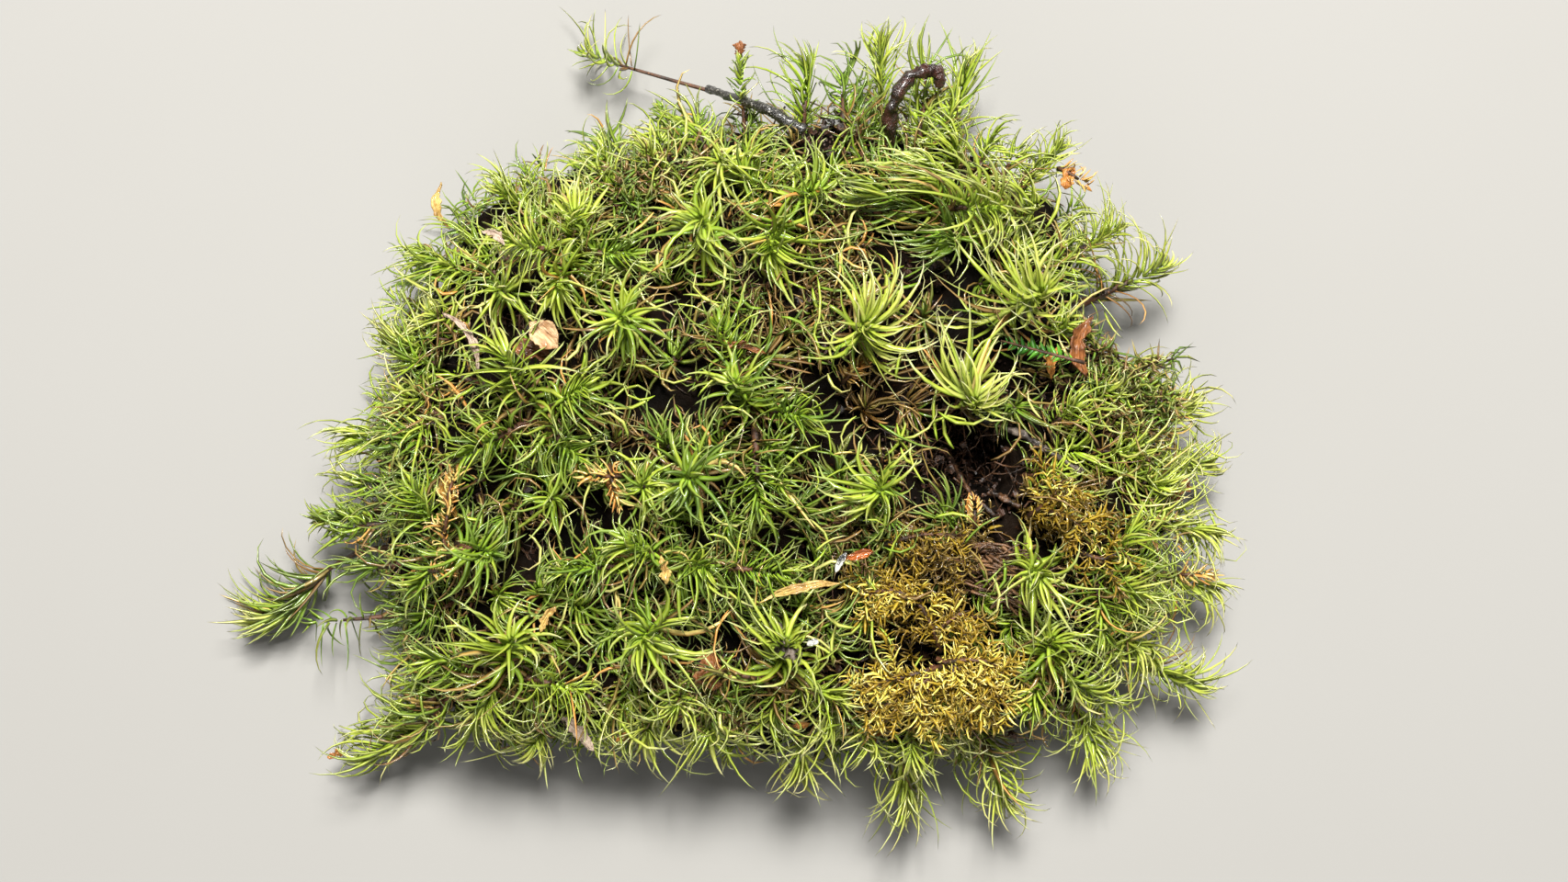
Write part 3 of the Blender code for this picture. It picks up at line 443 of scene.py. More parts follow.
class Net:
    """The nodes of one material."""

    def __init__(self, name: str) -> None:
        """Starts an empty material.

        Args:
            name: the material's name.
        """
        self.material = bpy.data.materials.new(name)
        self.material.use_nodes = True
        self.tree = self.material.node_tree
        self.tree.nodes.clear()

    def make(self, kind: str, settings: dict, inputs: dict, output: int | str = 0) -> Value:
        """Adds one node.

        Args:
            kind: the node's type.
            settings: its settings, set first; stops are a colour ramp's.
            inputs: a value or a link for each socket, by name or number.
            output: the socket to return.

        Returns:
            The chosen output.
        """
        node = self.tree.nodes.new(kind)
        for name, setting in settings.items():
            if name != "stops":
                setattr(node, name, setting)
                continue
            ramp = node.color_ramp
            while len(ramp.elements) < len(setting):
                ramp.elements.new(1.0)
            for element, (place, colour) in zip(ramp.elements, setting):
                element.position = place
                element.color = (*colour, 1.0)
        for name, given in inputs.items():
            if isinstance(name, int):
                socket = node.inputs[name]
            else:
                socket = next(item for item in node.inputs if item.name == name and item.enabled)
            if isinstance(given, Value):
                self.tree.links.new(given.socket, socket)
            elif socket.type == "RGBA" and len(given) == 3:
                socket.default_value = (*given, 1.0)
            else:
                socket.default_value = given
        if isinstance(output, int):
            found = [item for item in node.outputs if item.enabled][output]
        else:
            found = next(item for item in node.outputs if item.name == output and item.enabled)
        return Value(self, found)

    def mix(self, share: "Value | float", one: "Value | Colour", two: "Value | Colour", way: str = "MIX") -> Value:
        """Colour one turned into colour two by a share."""
        settings = {"data_type": "RGBA", "blend_type": way}
        return self.make("ShaderNodeMix", settings, {"Factor": share, "A": one, "B": two})

    def grain(self, place: Value, scale: float, detail: float = 3.0, roughness: float = 0.55) -> Value:
        """Noise from 0 to 1 at a place."""
        inputs = {"Vector": place, "Scale": scale, "Detail": detail, "Roughness": roughness}
        return self.make("ShaderNodeTexNoise", {}, inputs)

    def place(self) -> Value:
        """The object's own coordinates, in metres."""
        return self.make("ShaderNodeTexCoord", {}, {}, "Object")

    def ramp(self, value: Value, stops: Sequence[tuple[float, Colour]]) -> Value:
        """A colour from a value by a row of stops."""
        return self.make("ShaderNodeValToRGB", {"stops": stops}, {"Fac": value})

    def bump(self, height: Value, strength: float, distance: float) -> Value:
        """A normal from a height."""
        return self.make("ShaderNodeBump", {}, {"Height": height, "Strength": strength, "Distance": distance})

    def skin(self, colour: Value, roughness: "Value | float", normal: Value | None = None, **more: float) -> Value:
        """A Principled surface, and more of its sockets by name, with _ for a space.

        Args:
            colour: its colour.
            roughness: its roughness.
            normal: its normal, if it has relief.
            more: the other sockets.

        Returns:
            The surface.
        """
        inputs = {"Base Color": colour, "Roughness": roughness} | ({"Normal": normal} if normal else {})
        inputs |= {name.replace("_", " "): value for name, value in more.items()}
        return self.make("ShaderNodeBsdfPrincipled", {}, inputs)

    def lit_through(self, share: "Value | float", surface: Value, colour: Colour) -> Value:
        """A surface that lets a share of the light through, in a colour."""
        light = self.make("ShaderNodeBsdfTranslucent", {}, {"Color": colour})
        return self.make("ShaderNodeMixShader", {}, {0: share, 1: surface, 2: light})

    def finish(self, surface: Value) -> bpy.types.Material:
        """Links the surface to the output and returns the material.

        Args:
            surface: the surface.

        Returns:
            The material.
        """
        output = self.tree.nodes.new("ShaderNodeOutputMaterial")
        self.tree.links.new(surface.socket, output.inputs["Surface"])
        return self.material


@dataclass(frozen=True)
class LeafFinish:
    """Thin wet leaf: a row of shades by the tint across its UV map, and paler tips and darker feet along it, with a
    painted highlight along its midrib.
    """

    name: str
    blades: tuple[tuple[float, Colour], ...]
    tips: tuple[tuple[float, Colour], ...]
    foot: Colour
    roughness: float = 0.34
    coat: float = 0.55
    through: float = 0.22
    glow: Colour = (0.36, 0.46, 0.05)
    # The colour of the painted highlight along the midrib
    rib_highlight: Colour = (0.60, 0.62, 0.36)

    def material(self) -> bpy.types.Material:
        """Builds the material.

        Returns:
            The material.
        """
        net = Net(self.name)
        uv = net.make("ShaderNodeUVMap", {"uv_map": MAP_NAME}, {})
        across, up_map = (net.make("ShaderNodeSeparateXYZ", {}, {0: uv}, axis) for axis in "XY")
        along = up_map * (1 / BIN_LENGTH)
        blade = net.ramp(across, self.blades)
        tip = net.ramp(across, self.tips)
        in_bin = (across * TINT_BINS).math("FRACT")
        # A painted highlight down the middle of each leaf, over its midrib
        rib_highlight = 1 - (in_bin - 0.5).math("ABSOLUTE") * 2.0
        living = across.between(0.15, 0.26) * (1 - across.between(0.90, 0.94))
        colour = net.mix((1 - along.between(0.05, 0.42)) * living * 0.5, blade, self.foot)
        colour = net.mix(along.between(0.44, 1.0) * 0.9, colour, tip)
        colour = net.mix(rib_highlight.between(0.50, 1.0) * 0.16, colour, self.rib_highlight)
        stretched = net.make("ShaderNodeCombineXYZ", {}, {0: across * 60.0, 1: along * 2.4, 2: 0.0})
        patches = net.grain(stretched, 3.0)
        colour = net.mix(patches.between(0.40, 0.66) * living * 0.32, colour, self.foot)
        shine = 0.10 * patches + (self.roughness - 0.05)
        lines = net.make("ShaderNodeCombineXYZ", {}, {0: in_bin * 9.0, 1: along * 4.0, 2: 0.0})
        normal = net.bump(net.grain(lines, 1.6, 1.0), 0.25, 0.00006)
        leaf = net.skin(colour, shine, normal, Coat_Weight=self.coat, Coat_Roughness=0.12, IOR=1.40)
        return net.finish(net.lit_through(self.through * living * along.between(0.0, 0.4), leaf, self.glow))


@dataclass(frozen=True)
class PeatFinish:
    """Damp crumbling peat: near black, partly its own damp colour and partly painted shade for the gaps between the
    shoots, with reddish crumbs and wet glints.
    """

    name: str
    # dark and brown are kept near black, partly as painted shade for the gaps between the shoots
    dark: Colour = (0.0025, 0.0018, 0.0012)
    brown: Colour = (0.0075, 0.0040, 0.0020)
    red: Colour = (0.060, 0.021, 0.008)

    def material(self) -> bpy.types.Material:
        """Builds the material.

        Returns:
            The material.
        """
        net = Net(self.name)
        place = net.place()
        broad = net.grain(place, 110.0, 4.0)
        fine = net.grain(place, 900.0, 5.0, 0.7)
        crumbs = net.make("ShaderNodeTexVoronoi", {}, {"Vector": place, "Scale": 620.0}, "Distance")
        colour = net.mix(broad.between(0.35, 0.65), self.dark, self.brown)
        colour = net.mix(fine.between(0.60, 0.74) * broad.between(0.45, 0.6), colour, self.red)
        wet = 0.55 + 0.4 * fine.between(0.3, 0.7)
        normal = net.bump(fine + crumbs * -0.8, 0.9, 0.0006)
        return net.finish(net.skin(colour, wet, normal, Specular_IOR_Level=0.06))


@dataclass(frozen=True)
class WoodFinish:
    """A stem or twig: bark or felt with patches, scales and fine lines; on the beaded stem its light patches are
    painted glints.
    """

    name: str
    base: Colour
    light: Colour
    dark: Colour
    roughness: float = 0.5
    coat: float = 0.0
    scale: float = 500.0

    def material(self) -> bpy.types.Material:
        """Builds the material.

        Returns:
            The material.
        """
        net = Net(self.name)
        place = net.place()
        patches = net.grain(place, self.scale, 4.0)
        fine = net.grain(place, self.scale * 4.5, 4.0, 0.7)
        colour = net.mix(patches.between(0.42, 0.60), self.base, self.dark)
        colour = net.mix(fine.between(0.56, 0.74), colour, self.light)
        normal = net.bump(fine + patches * 1.5, 0.7, 0.00025)
        shine = 0.3 * fine + (self.roughness - 0.1)
        return net.finish(net.skin(colour, shine, normal, Coat_Weight=self.coat, Coat_Roughness=0.15))


@dataclass(frozen=True)
class DeadLeafFinish:
    """A dry or soaked dead leaf: veined along its length, blotched, a little see-through."""

    name: str
    pale: Colour
    deep: Colour
    roughness: float = 0.45
    through: float = 0.2
    coat: float = 0.15

    def material(self, turn: float) -> bpy.types.Material:
        """Builds the material.

        Args:
            turn: the way that the leaf is turned, in radians.

        Returns:
            The material, its veins running that way.
        """
        net = Net(self.name)
        place = net.place()
        turned = net.make("ShaderNodeMapping", {}, {"Vector": place, "Rotation": (0.0, 0.0, -turn)})
        veins = net.make("ShaderNodeMapping", {}, {"Vector": turned, "Scale": (0.14, 1.0, 1.0)})
        blotches = net.grain(place, 420.0, 4.0)
        fine = net.grain(veins, 3000.0, 3.0, 0.6)
        colour = net.mix(blotches.between(0.44, 0.66), self.pale, self.deep)
        colour = net.mix(fine.between(0.46, 0.70) * 0.6, colour, self.deep)
        normal = net.bump(fine * 2.0 + blotches * 2.0, 0.7, 0.0003)
        leaf = net.skin(colour, self.roughness, normal, Coat_Weight=self.coat)
        return net.finish(net.lit_through(self.through, leaf, self.pale))


@dataclass(frozen=True)
class FloorFinish:
    """Plain pale matt floor."""

    name: str = "pale_floor"
    colour: Colour = (0.25, 0.243, 0.232)

    def material(self) -> bpy.types.Material:
        """Builds the material.

        Returns:
            The material.
        """
        net = Net(self.name)
        colour = net.mix(net.grain(net.place(), 14.0).between(0.3, 0.7) * 0.06, self.colour, (0.3, 0.3, 0.3))
        return net.finish(net.skin(colour, 0.75))


BROOM_LEAF = LeafFinish(
    name="broom_moss_leaf",
    blades=(
        (0.00, (0.110, 0.050, 0.016)), (0.10, (0.230, 0.125, 0.030)), (0.18, (0.215, 0.170, 0.028)),
        (0.30, (0.064, 0.130, 0.018)), (0.50, (0.185, 0.280, 0.020)), (0.68, (0.375, 0.440, 0.034)),
        (0.86, (0.560, 0.600, 0.082)), (0.93, (0.640, 0.600, 0.190)), (0.965, (0.560, 0.310, 0.068)),
        (1.00, (0.480, 0.180, 0.035)),
    ),
    tips=(
        (0.00, (0.240, 0.110, 0.035)), (0.18, (0.330, 0.250, 0.085)), (0.30, (0.180, 0.240, 0.070)),
        (0.50, (0.350, 0.395, 0.130)), (0.70, (0.520, 0.520, 0.240)), (0.86, (0.680, 0.630, 0.440)),
        (0.94, (0.740, 0.560, 0.240)), (0.965, (0.620, 0.400, 0.130)), (1.00, (0.440, 0.190, 0.060)),
    ),
    foot=(0.215, 0.385, 0.012),
)
GOLDEN_LEAF = LeafFinish(
    name="golden_moss_leaf",
    blades=(
        (0.00, (0.060, 0.036, 0.012)), (0.30, (0.200, 0.125, 0.020)), (0.60, (0.500, 0.350, 0.032)),
        (0.85, (0.680, 0.510, 0.050)), (1.00, (0.740, 0.620, 0.120)),
    ),
    tips=(
        (0.00, (0.190, 0.120, 0.046)), (0.50, (0.560, 0.410, 0.100)), (1.00, (0.840, 0.740, 0.320)),
    ),
    foot=(0.180, 0.098, 0.014),
    roughness=0.30,
    through=0.42,
    glow=(0.66, 0.44, 0.05),
    rib_highlight=(0.70, 0.52, 0.12),
)
FERN_LEAF = LeafFinish(
    name="fern_leaf",
    blades=((0.00, (0.020, 0.080, 0.012)), (0.50, (0.050, 0.200, 0.018)), (1.00, (0.180, 0.480, 0.036))),
    tips=((0.00, (0.040, 0.130, 0.016)), (1.00, (0.260, 0.520, 0.070))),
    foot=(0.014, 0.060, 0.008),
    coat=0.2,
    glow=(0.10, 0.40, 0.03),
    rib_highlight=(0.10, 0.30, 0.04),
)


class Wood(Enum):
    """The kinds of bark, felt and fibre, each with its finish."""

    FELT = WoodFinish("felted_stem", (0.085, 0.032, 0.012), (0.270, 0.110, 0.036), (0.022, 0.011, 0.006))
    DARK = WoodFinish("dark_bark", (0.04, 0.013, 0.009), (0.15, 0.055, 0.036), (0.01, 0.005, 0.004), 0.22, 0.5, 700.0)
    # Its light colour is painted highlight: white wet glints on the near-black stem
    BEADED = WoodFinish("beaded_bark_painted_glints", (0.016, 0.014, 0.012), (0.62, 0.58, 0.52), (0.008, 0.007, 0.006), 0.25, 0.5, 800)
    GREY = WoodFinish("grey_bark", (0.130, 0.098, 0.076), (0.380, 0.330, 0.280), (0.020, 0.014, 0.011), 0.5)
    ROOT = WoodFinish("root_fibre", (0.070, 0.030, 0.012), (0.220, 0.110, 0.050), (0.014, 0.007, 0.004), 0.4)
    MAT = WoodFinish("mat_fibre", (0.190, 0.095, 0.042), (0.420, 0.270, 0.150), (0.050, 0.022, 0.010), 0.35)
    CRUMB = WoodFinish("soil_crumb", (0.040, 0.016, 0.008), (0.210, 0.085, 0.040), (0.006, 0.003, 0.002), 0.4)


TAN_SCALE = DeadLeafFinish("tan_scale", (0.720, 0.480, 0.260), (0.380, 0.190, 0.080))
RUST_LEAF = DeadLeafFinish("rust_leaf", (0.340, 0.125, 0.036), (0.100, 0.034, 0.012), 0.35)
ORANGE_LEAF = DeadLeafFinish("orange_leaf", (0.600, 0.270, 0.055), (0.320, 0.105, 0.018), 0.35)
AMBER_LEAF = DeadLeafFinish("amber_leaf", (0.620, 0.360, 0.070), (0.330, 0.150, 0.022), 0.30, 0.4)
EMBER_BUD = DeadLeafFinish("ember_bud", (0.420, 0.110, 0.020), (0.130, 0.022, 0.008), 0.14, 0.1, 1.0)
# Pale and near black: a white flake, and also the painted glint beside the orange bud
WHITE_FLAKE_AND_GLINT = DeadLeafFinish("white_flake_and_glint", (0.640, 0.620, 0.560), (0.030, 0.034, 0.036), 0.2, 0.1, 0.6)
STRAW_LEAF = DeadLeafFinish("straw_leaf", (0.640, 0.440, 0.130), (0.330, 0.180, 0.045), 0.4)
GREY_LEAF = DeadLeafFinish("grey_leaf", (0.560, 0.430, 0.330), (0.260, 0.170, 0.120), 0.5)


def leave_edit(*objects: bpy.types.Object) -> None:
    """Goes back to object mode and selects only these objects, the last one active.

    Args:
        objects: what is selected then.
    """
    if bpy.context.mode != "OBJECT":
        bpy.ops.object.mode_set(mode="OBJECT")
    bpy.ops.object.select_all(action="DESELECT")
    for thing in objects:
        thing.select_set(True)
        bpy.context.view_layer.objects.active = thing


def start_shape(primitive: Callable, **settings: object) -> bpy.types.Object:
    """Adds a primitive around the middle of a line from 0 to 1 along y and goes into edit mode.

    Args:
        primitive: the operator that adds it.
        settings: what the operator is given.

    Returns:
        The new object, all of it selected.
    """
    leave_edit()
    primitive(location=(0, 0.5, 0), **settings)
    bpy.ops.object.transform_apply(location=True, rotation=True, scale=True)
    bpy.ops.object.mode_set(mode="EDIT")
    bpy.ops.mesh.select_all(action="SELECT")
    return bpy.context.object


def start_rod(sides: int, turn: float, end: str) -> bpy.types.Object:
    """Adds a rod one long and one thick."""
    settings = {"vertices": sides, "radius": 0.5, "depth": 1.0, "rotation": (turn, 0, 0), "end_fill_type": end}
    return start_shape(bpy.ops.mesh.primitive_cylinder_add, **settings)


def cut_across(levels: Iterable[float]) -> None:
    """Cuts the whole shape across at some places along y.

    Args:
        levels: where it is cut.
    """
    for level in levels:
        bpy.ops.mesh.select_all(action="SELECT")
        bpy.ops.mesh.bisect(plane_co=(0, level, 0), plane_no=(0, 1, 0))


def scale_at(thing: bpy.types.Object, level: float, x: float, z: float) -> None:
    """Widens or narrows the section at one place along y."""
    select_where(thing, lambda co: abs(co.y - level) < 1e-4)
    bpy.ops.transform.resize(value=(x, 1, z), center_override=(0, level, 0))


def lift_where(thing: bpy.types.Object, wanted: Callable[[Vector], bool], rise: float) -> None:
    """Lifts the vertices that a test of their place accepts."""
    select_where(thing, wanted)
    bpy.ops.transform.translate(value=(0, 0, rise))


def select_where(thing: bpy.types.Object, wanted: Callable[[Vector], bool]) -> None:
    """Selects, in edit mode, the vertices that a test of their place accepts.

    Args:
        thing: the object.
        wanted: the test.
    """
    bpy.ops.mesh.select_mode(type="VERT")
    bpy.ops.mesh.select_all(action="DESELECT")
    shape = bmesh.from_edit_mesh(thing.data)
    for vertex in shape.verts:
        if wanted(vertex.co):
            vertex.select_set(True)
    shape.select_flush(True)
    bmesh.update_edit_mesh(thing.data)


class Blank:
    """A thing modelled once, straight along y from 0 to 1, to be bent along many curves.

    Its x and z are shares of the width that a copy is given.
    """

    def __init__(self, thing: bpy.types.Object) -> None:
        """Reads the finished model and takes its object away.

        Args:
            thing: the finished model.
        """
        leave_edit(thing)
        shape = bmesh.new()
        shape.from_mesh(thing.data)
        bmesh.ops.triangulate(shape, faces=shape.faces[:])
        bmesh.ops.recalc_face_normals(shape, faces=shape.faces[:])
        self.points = np.array([tuple(vertex.co) for vertex in shape.verts])
        self.faces = np.array([[vertex.index for vertex in face.verts] for face in shape.faces])
        shape.free()
        bpy.data.meshes.remove(thing.data)
        rounded = np.round(self.points[:, 1], 4)
        self.levels, self.level_of = np.unique(rounded, return_inverse=True)
        self.level_of = self.level_of.reshape(-1)
        widest = np.array([max(np.abs(self.points[rounded == level, 0]).max(), 1e-6) for level in self.levels])
        self.across = self.points[:, 0] / widest[self.level_of]


@dataclass
class LeafPattern:
    """The shape of a leaf, modelled in edit mode from a rod of four sides, or of three for a small leaf."""

    levels: tuple[float, ...] = (0.09, 0.22, 0.37, 0.53, 0.70, 0.86)
    widths: tuple[float, ...] = (0.80, 1.05, 1.02, 0.90, 0.72, 0.50, 0.28)
    channel: float = 0.02
    keel: float = 0.24
    sides: int = 4

    def model(self) -> Blank:
        """Models the leaf.

        Returns:
            The blank: a channelled blade with a keel below, closed at its foot and pointed at its tip.
        """
        leaf = start_rod(self.sides, math.pi / 2, "NGON")
        cut_across(self.levels)
        self.shape_section(leaf)
        for level, width in zip((0.0, *self.levels), self.widths):
            scale_at(leaf, level, width, width**0.5)
        select_where(leaf, lambda co: co.y > 0.9999)
        bpy.ops.mesh.merge(type="CENTER")
        return Blank(leaf)

    def shape_section(self, leaf: bpy.types.Object) -> None:
        """Lowers the top edge of the rod to a channel and raises its bottom edge to a keel.

        With three sides, the top edge becomes the keel under a flat blade.

        Args:
            leaf: the rod that becomes the leaf.
        """
        flat = self.sides == 3
        lift_where(leaf, lambda co: co.z > 0.3, -0.5 - (self.keel if flat else self.channel))
        if not flat:
            lift_where(leaf, lambda co: co.z < -0.3, 0.5 - self.keel)
        lift_where(leaf, lambda co: abs(co.x) > 0.3, 0.37 if flat else 0.12)


@dataclass
class RodPattern:
    """A round rod for stems and fibres, modelled from a cylinder."""

    sides: int = 5
    levels: int = 7
    end: float = 0.55

    def model(self) -> Blank:
        """Models the rod.

        Returns:
            The blank: closed at both ends, and narrower at its end than at its foot.
        """
        rod = start_rod(self.sides, -math.pi / 2, "TRIFAN")
        cut_across(k / self.levels for k in range(1, self.levels))
        for k in range(1, self.levels + 1):
            share = 1 + (self.end - 1) * k / self.levels
            scale_at(rod, k / self.levels, share, share)
        return Blank(rod)


@dataclass
class CrumbPattern:
    """A lump of soil or bark, modelled from a ball."""

    detail: int = 1
    seed: int = 0

    def model(self) -> Blank:
        """Models the lump, from 0 to 1 along y and about as wide.

        Returns:
            The blank.
        """
        lump = start_shape(bpy.ops.mesh.primitive_ico_sphere_add, subdivisions=self.detail, radius=0.5)
        bpy.ops.transform.vertex_random(offset=0.30, seed=self.seed, uniform=0.6)
        return Blank(lump)


@dataclass
class Strands:
    """Many copies of a blank, each bent along its own curve, gathered to become one mesh."""

    blank: Blank
    copies: list[tuple[np.ndarray, ...]] = field(default_factory=list)

    def add(self, *copies: np.ndarray) -> None:
        """Adds copies.

        Args:
            copies: for each copy, its place at each level of the blank, the way that its upper side faces,
                its width, its shade from 0 to 1, and how far it has turned at its end, in radians.
        """
        self.copies.append(copies)

    def add_one(self, places: np.ndarray, width: float, side: np.ndarray | None = None) -> None:
        """Adds one plain copy along some places.

        Args:
            places: its place at each level of the blank.
            width: its width.
            side: the way that its upper side faces, if that matters.
        """
        if side is None:
            side = square_to(unit(places[-1] - places[0]))[0]
        self.add(places[None], side[None], np.array([width]), np.array([0.5]), np.zeros(1))

    def trace(self, points: Sequence[Sequence[float]], width: float) -> None:
        """Adds one copy along a smooth curve through some points."""
        self.add_one(curve_through(points, len(self.blank.levels)), width)

    def arrays(self) -> tuple[np.ndarray, np.ndarray, np.ndarray]:
        """Bends all the copies and joins them.

        Returns:
            The points, the faces as three point numbers each, and the UV place of each point.
        """
        blank = self.blank
        paths, upper, width, tint, twist = (np.concatenate(part) for part in zip(*self.copies))
        along = unit(np.gradient(paths, axis=1))
        side = unit(np.cross(along, upper[:, None, :]))
        normal = np.cross(side, along)
        twist = (twist[:, None] * blank.levels)[..., None]
        turned = side * np.cos(twist) + normal * np.sin(twist)
        normal = normal * np.cos(twist) - side * np.sin(twist)
        level = blank.level_of
        x, z = (blank.points[None, :, k, None] * width[:, None, None] for k in (0, 2))
        points = paths[:, level] + turned[:, level] * x + normal[:, level] * z
        count, size = points.shape[:2]
        faces = (blank.faces[None] + (np.arange(count) * size)[:, None, None]).reshape(-1, 3)
        chosen = np.clip((tint * TINT_BINS).astype(int), 0, TINT_BINS - 1)
        u = (chosen[:, None] + 0.5 + 0.42 * blank.across[None, :]) / TINT_BINS
        v = np.broadcast_to(blank.points[:, 1][None, :] * BIN_LENGTH, u.shape)
        return points.reshape(-1, 3), faces, np.stack([u, v], axis=-1).reshape(-1, 2)


def joined_piece(
    name: str, parts: Iterable[tuple[Strands, bpy.types.Material]], smooth: bool = True
) -> bpy.types.Object:
    """One object from strands, each kind with its own material.

    Args:
        name: the object's name.
        parts: strands and the material of each.
        smooth: whether its faces are shaded as one smooth surface.

    Returns:
        The object, at the origin, its points in metres.
    """
    points, faces, places, slots, materials = [], [], [], [], []
    offset = 0
    for strands, material in parts:
        if not strands.copies:
            continue
        own_points, own_faces, own_places = strands.arrays()
        points.append(own_points)
        faces.append(own_faces + offset)
        places.append(own_places[own_faces.reshape(-1)])
        slots.append(np.full(len(own_faces), len(materials)))
        materials.append(material)
        offset += len(own_points)
    mesh = bpy.data.meshes.new(name)
    all_points = np.concatenate(points) * MM
    all_faces = np.concatenate(faces).astype(np.int32)
    mesh.vertices.add(len(all_points))
    mesh.vertices.foreach_set("co", all_points.astype(np.float32).reshape(-1))
    mesh.loops.add(all_faces.size)
    mesh.loops.foreach_set("vertex_index", all_faces.reshape(-1))
    mesh.polygons.add(len(all_faces))
    mesh.polygons.foreach_set("loop_start", np.arange(0, all_faces.size, 3, dtype=np.int32))
    mesh.polygons.foreach_set("material_index", np.concatenate(slots).astype(np.int32))
    layer = mesh.uv_layers.new(name=MAP_NAME)
    layer.data.foreach_set("uv", np.concatenate(places).astype(np.float32).reshape(-1))
    for material in materials:
        mesh.materials.append(material)
    mesh.update()
    mesh.validate()
    if smooth:
        mesh.shade_smooth()
    else:
        mesh.shade_flat()
    piece = bpy.data.objects.new(name, mesh)
    bpy.context.scene.collection.objects.link(piece)
    return piece


@dataclass(frozen=True)
class HabitSizes:
    """What a habit changes.

    Its leaves' number, the stretch of stem that carries them, how far the oldest spread, how much they bend
    outwards and how much with their neighbours, how far they bend, their length and their width.
    """

    leaves: int
    depth: float
    spread: float
    outward: float
    combed: float
    bent: float
    length: float
    width: float


HABIT_SIZES = {
    STAR: HabitSizes(60, 8.5, 84.0, 0.46, 1.8, 128.0, 1.12, 0.61),
    FULL: HabitSizes(72, 9.0, 78.0, 0.36, 2.0, 124.0, 1.10, 0.53),
    SWEPT: HabitSizes(66, 9.5, 60.0, 0.20, 3.2, 132.0, 1.18, 0.57),
    BROOM: HabitSizes(56, 11.0, 46.0, 0.36, 1.8, 98.0, 1.10, 0.56),
    COMBED: HabitSizes(66, 9.0, 62.0, 0.10, 3.0, 132.0, 1.20, 0.57),
    TRAILING: HabitSizes(120, 11.0, 40.0, 0.08, 1.6, 84.0, 1.14, 0.74),
    SHORT: HabitSizes(72, 13.0, 70.0, 0.30, 1.0, 60.0, 0.62, 0.82),
    OLD: HabitSizes(26, 9.0, 105.0, 0.30, 1.6, 105.0, 0.85, 0.60),
    STUBBY: HabitSizes(34, 6.0, 62.0, 0.30, 1.0, 60.0, 0.62, 0.82),
    LOOSE: HabitSizes(34, 6.0, 80.0, 0.60, 0.7, 110.0, 1.14, 0.58),
}

THIN_STEMMED = (OLD, STUBBY, LOOSE, TRAILING)


@dataclass
class Stalk:
    """The curve of a stem from its root to its bud, and places and directions along it."""

    places: np.ndarray

    def __post_init__(self) -> None:
        """Measures the curve from its bud back."""
        steps = np.linalg.norm(np.diff(self.places, axis=0), axis=1)
        self.from_bud = np.concatenate([np.cumsum(steps[::-1])[::-1], [0.0]])
        self.ways = unit(np.gradient(self.places, axis=0))

    @property
    def length(self) -> float:
        """Length of the whole stem."""
        return float(self.from_bud[0])

    def at(self, distance: np.ndarray) -> tuple[np.ndarray, np.ndarray]:
        """Places and directions along the stem.

        Args:
            distance: how far back from the bud, or past it where negative.

        Returns:
            The places, and the direction of the stem at each.
        """
        order = self.from_bud[::-1]
        place = np.stack([np.interp(distance, order, self.places[::-1, k]) for k in range(3)], axis=-1)
        way = np.stack([np.interp(distance, order, self.ways[::-1, k]) for k in range(3)], axis=-1)
        place = place + way * np.maximum(0.0, -distance)[:, None]
        return place, unit(way)


def bent_stalk(root: Vector, pull: Vector, bud: Vector) -> Stalk:
    """A stem from its root to its bud, drawn towards a third point.

    Args:
        root: where it starts.
        pull: the point that it is drawn towards.
        bud: where it ends.

    Returns:
        The stem.
    """
    t = np.linspace(0, 1, 16)[:, None]
    start, middle, end = (np.array(point) for point in (root, pull, bud))
    return Stalk(start * (1 - t) ** 2 + middle * (2 * t * (1 - t)) + end * t**2)


def bowed_stalk(root: Vector, bud: Vector, share: float, rise: float) -> Stalk:
    """A stem that is drawn up over a point at a share of its way."""
    return bent_stalk(root, root.lerp(bud, share) + up(rise), bud)


def stalk_of(shoot: Shoot) -> Stalk:
    """The stem of a shoot that stands by itself.

    Args:
        shoot: the shoot's sizes.

    Returns:
        The stem, from the bed or from its own root's height.
    """
    bud = from_above(shoot.x, shoot.y, shoot.z)
    lean = Vector((*shoot.lean, 0))
    root = bud - lean
    root.z = shoot.root_z or bed_height(root.x, root.y) - 1.0
    rise = max(0.6 * (bud.z - root.z), 3.0)
    return bent_stalk(root, root + lean * 0.45 + up(rise), bud)


def leaf_shades(shoot: Shoot, age: np.ndarray, rng: np.random.Generator) -> np.ndarray:
    """Shades for the leaves of one shoot, with dead leaves among them.

    Args:
        shoot: the shoot's sizes.
        age: the age of each leaf, from 0 for the youngest to 1 for the oldest.
        rng: the source of their small differences.

    Returns:
        The shade of each leaf, from 0 to 1 across the map.
    """
    count = len(age)
    darkest = BROWNEST if shoot.tint < BROWN_SHOOT else DEEPEST_GREEN
    shade = np.clip(shoot.tint + rng.normal(0.0, 0.10, count) - 0.18 * age**2, darkest, PALEST)
    if shoot.habit is TRAILING:
        shade = np.clip(shade - 0.9 * (age - 0.30), 0.27, PALEST)
    dried = rng.uniform(size=count) < 0.012 + 0.05 * (age > 0.7)
    shade = np.where(dried, rng.uniform(*STRAW, count), shade)
    rotten = (age > 0.74) & (rng.uniform(size=count) < 0.45)
    shade = np.where(rotten, rng.uniform(*WITHERED, count), shade)
    return rng.uniform(*AMBER, count) if shoot.tint > AMBER_SHOOT else shade


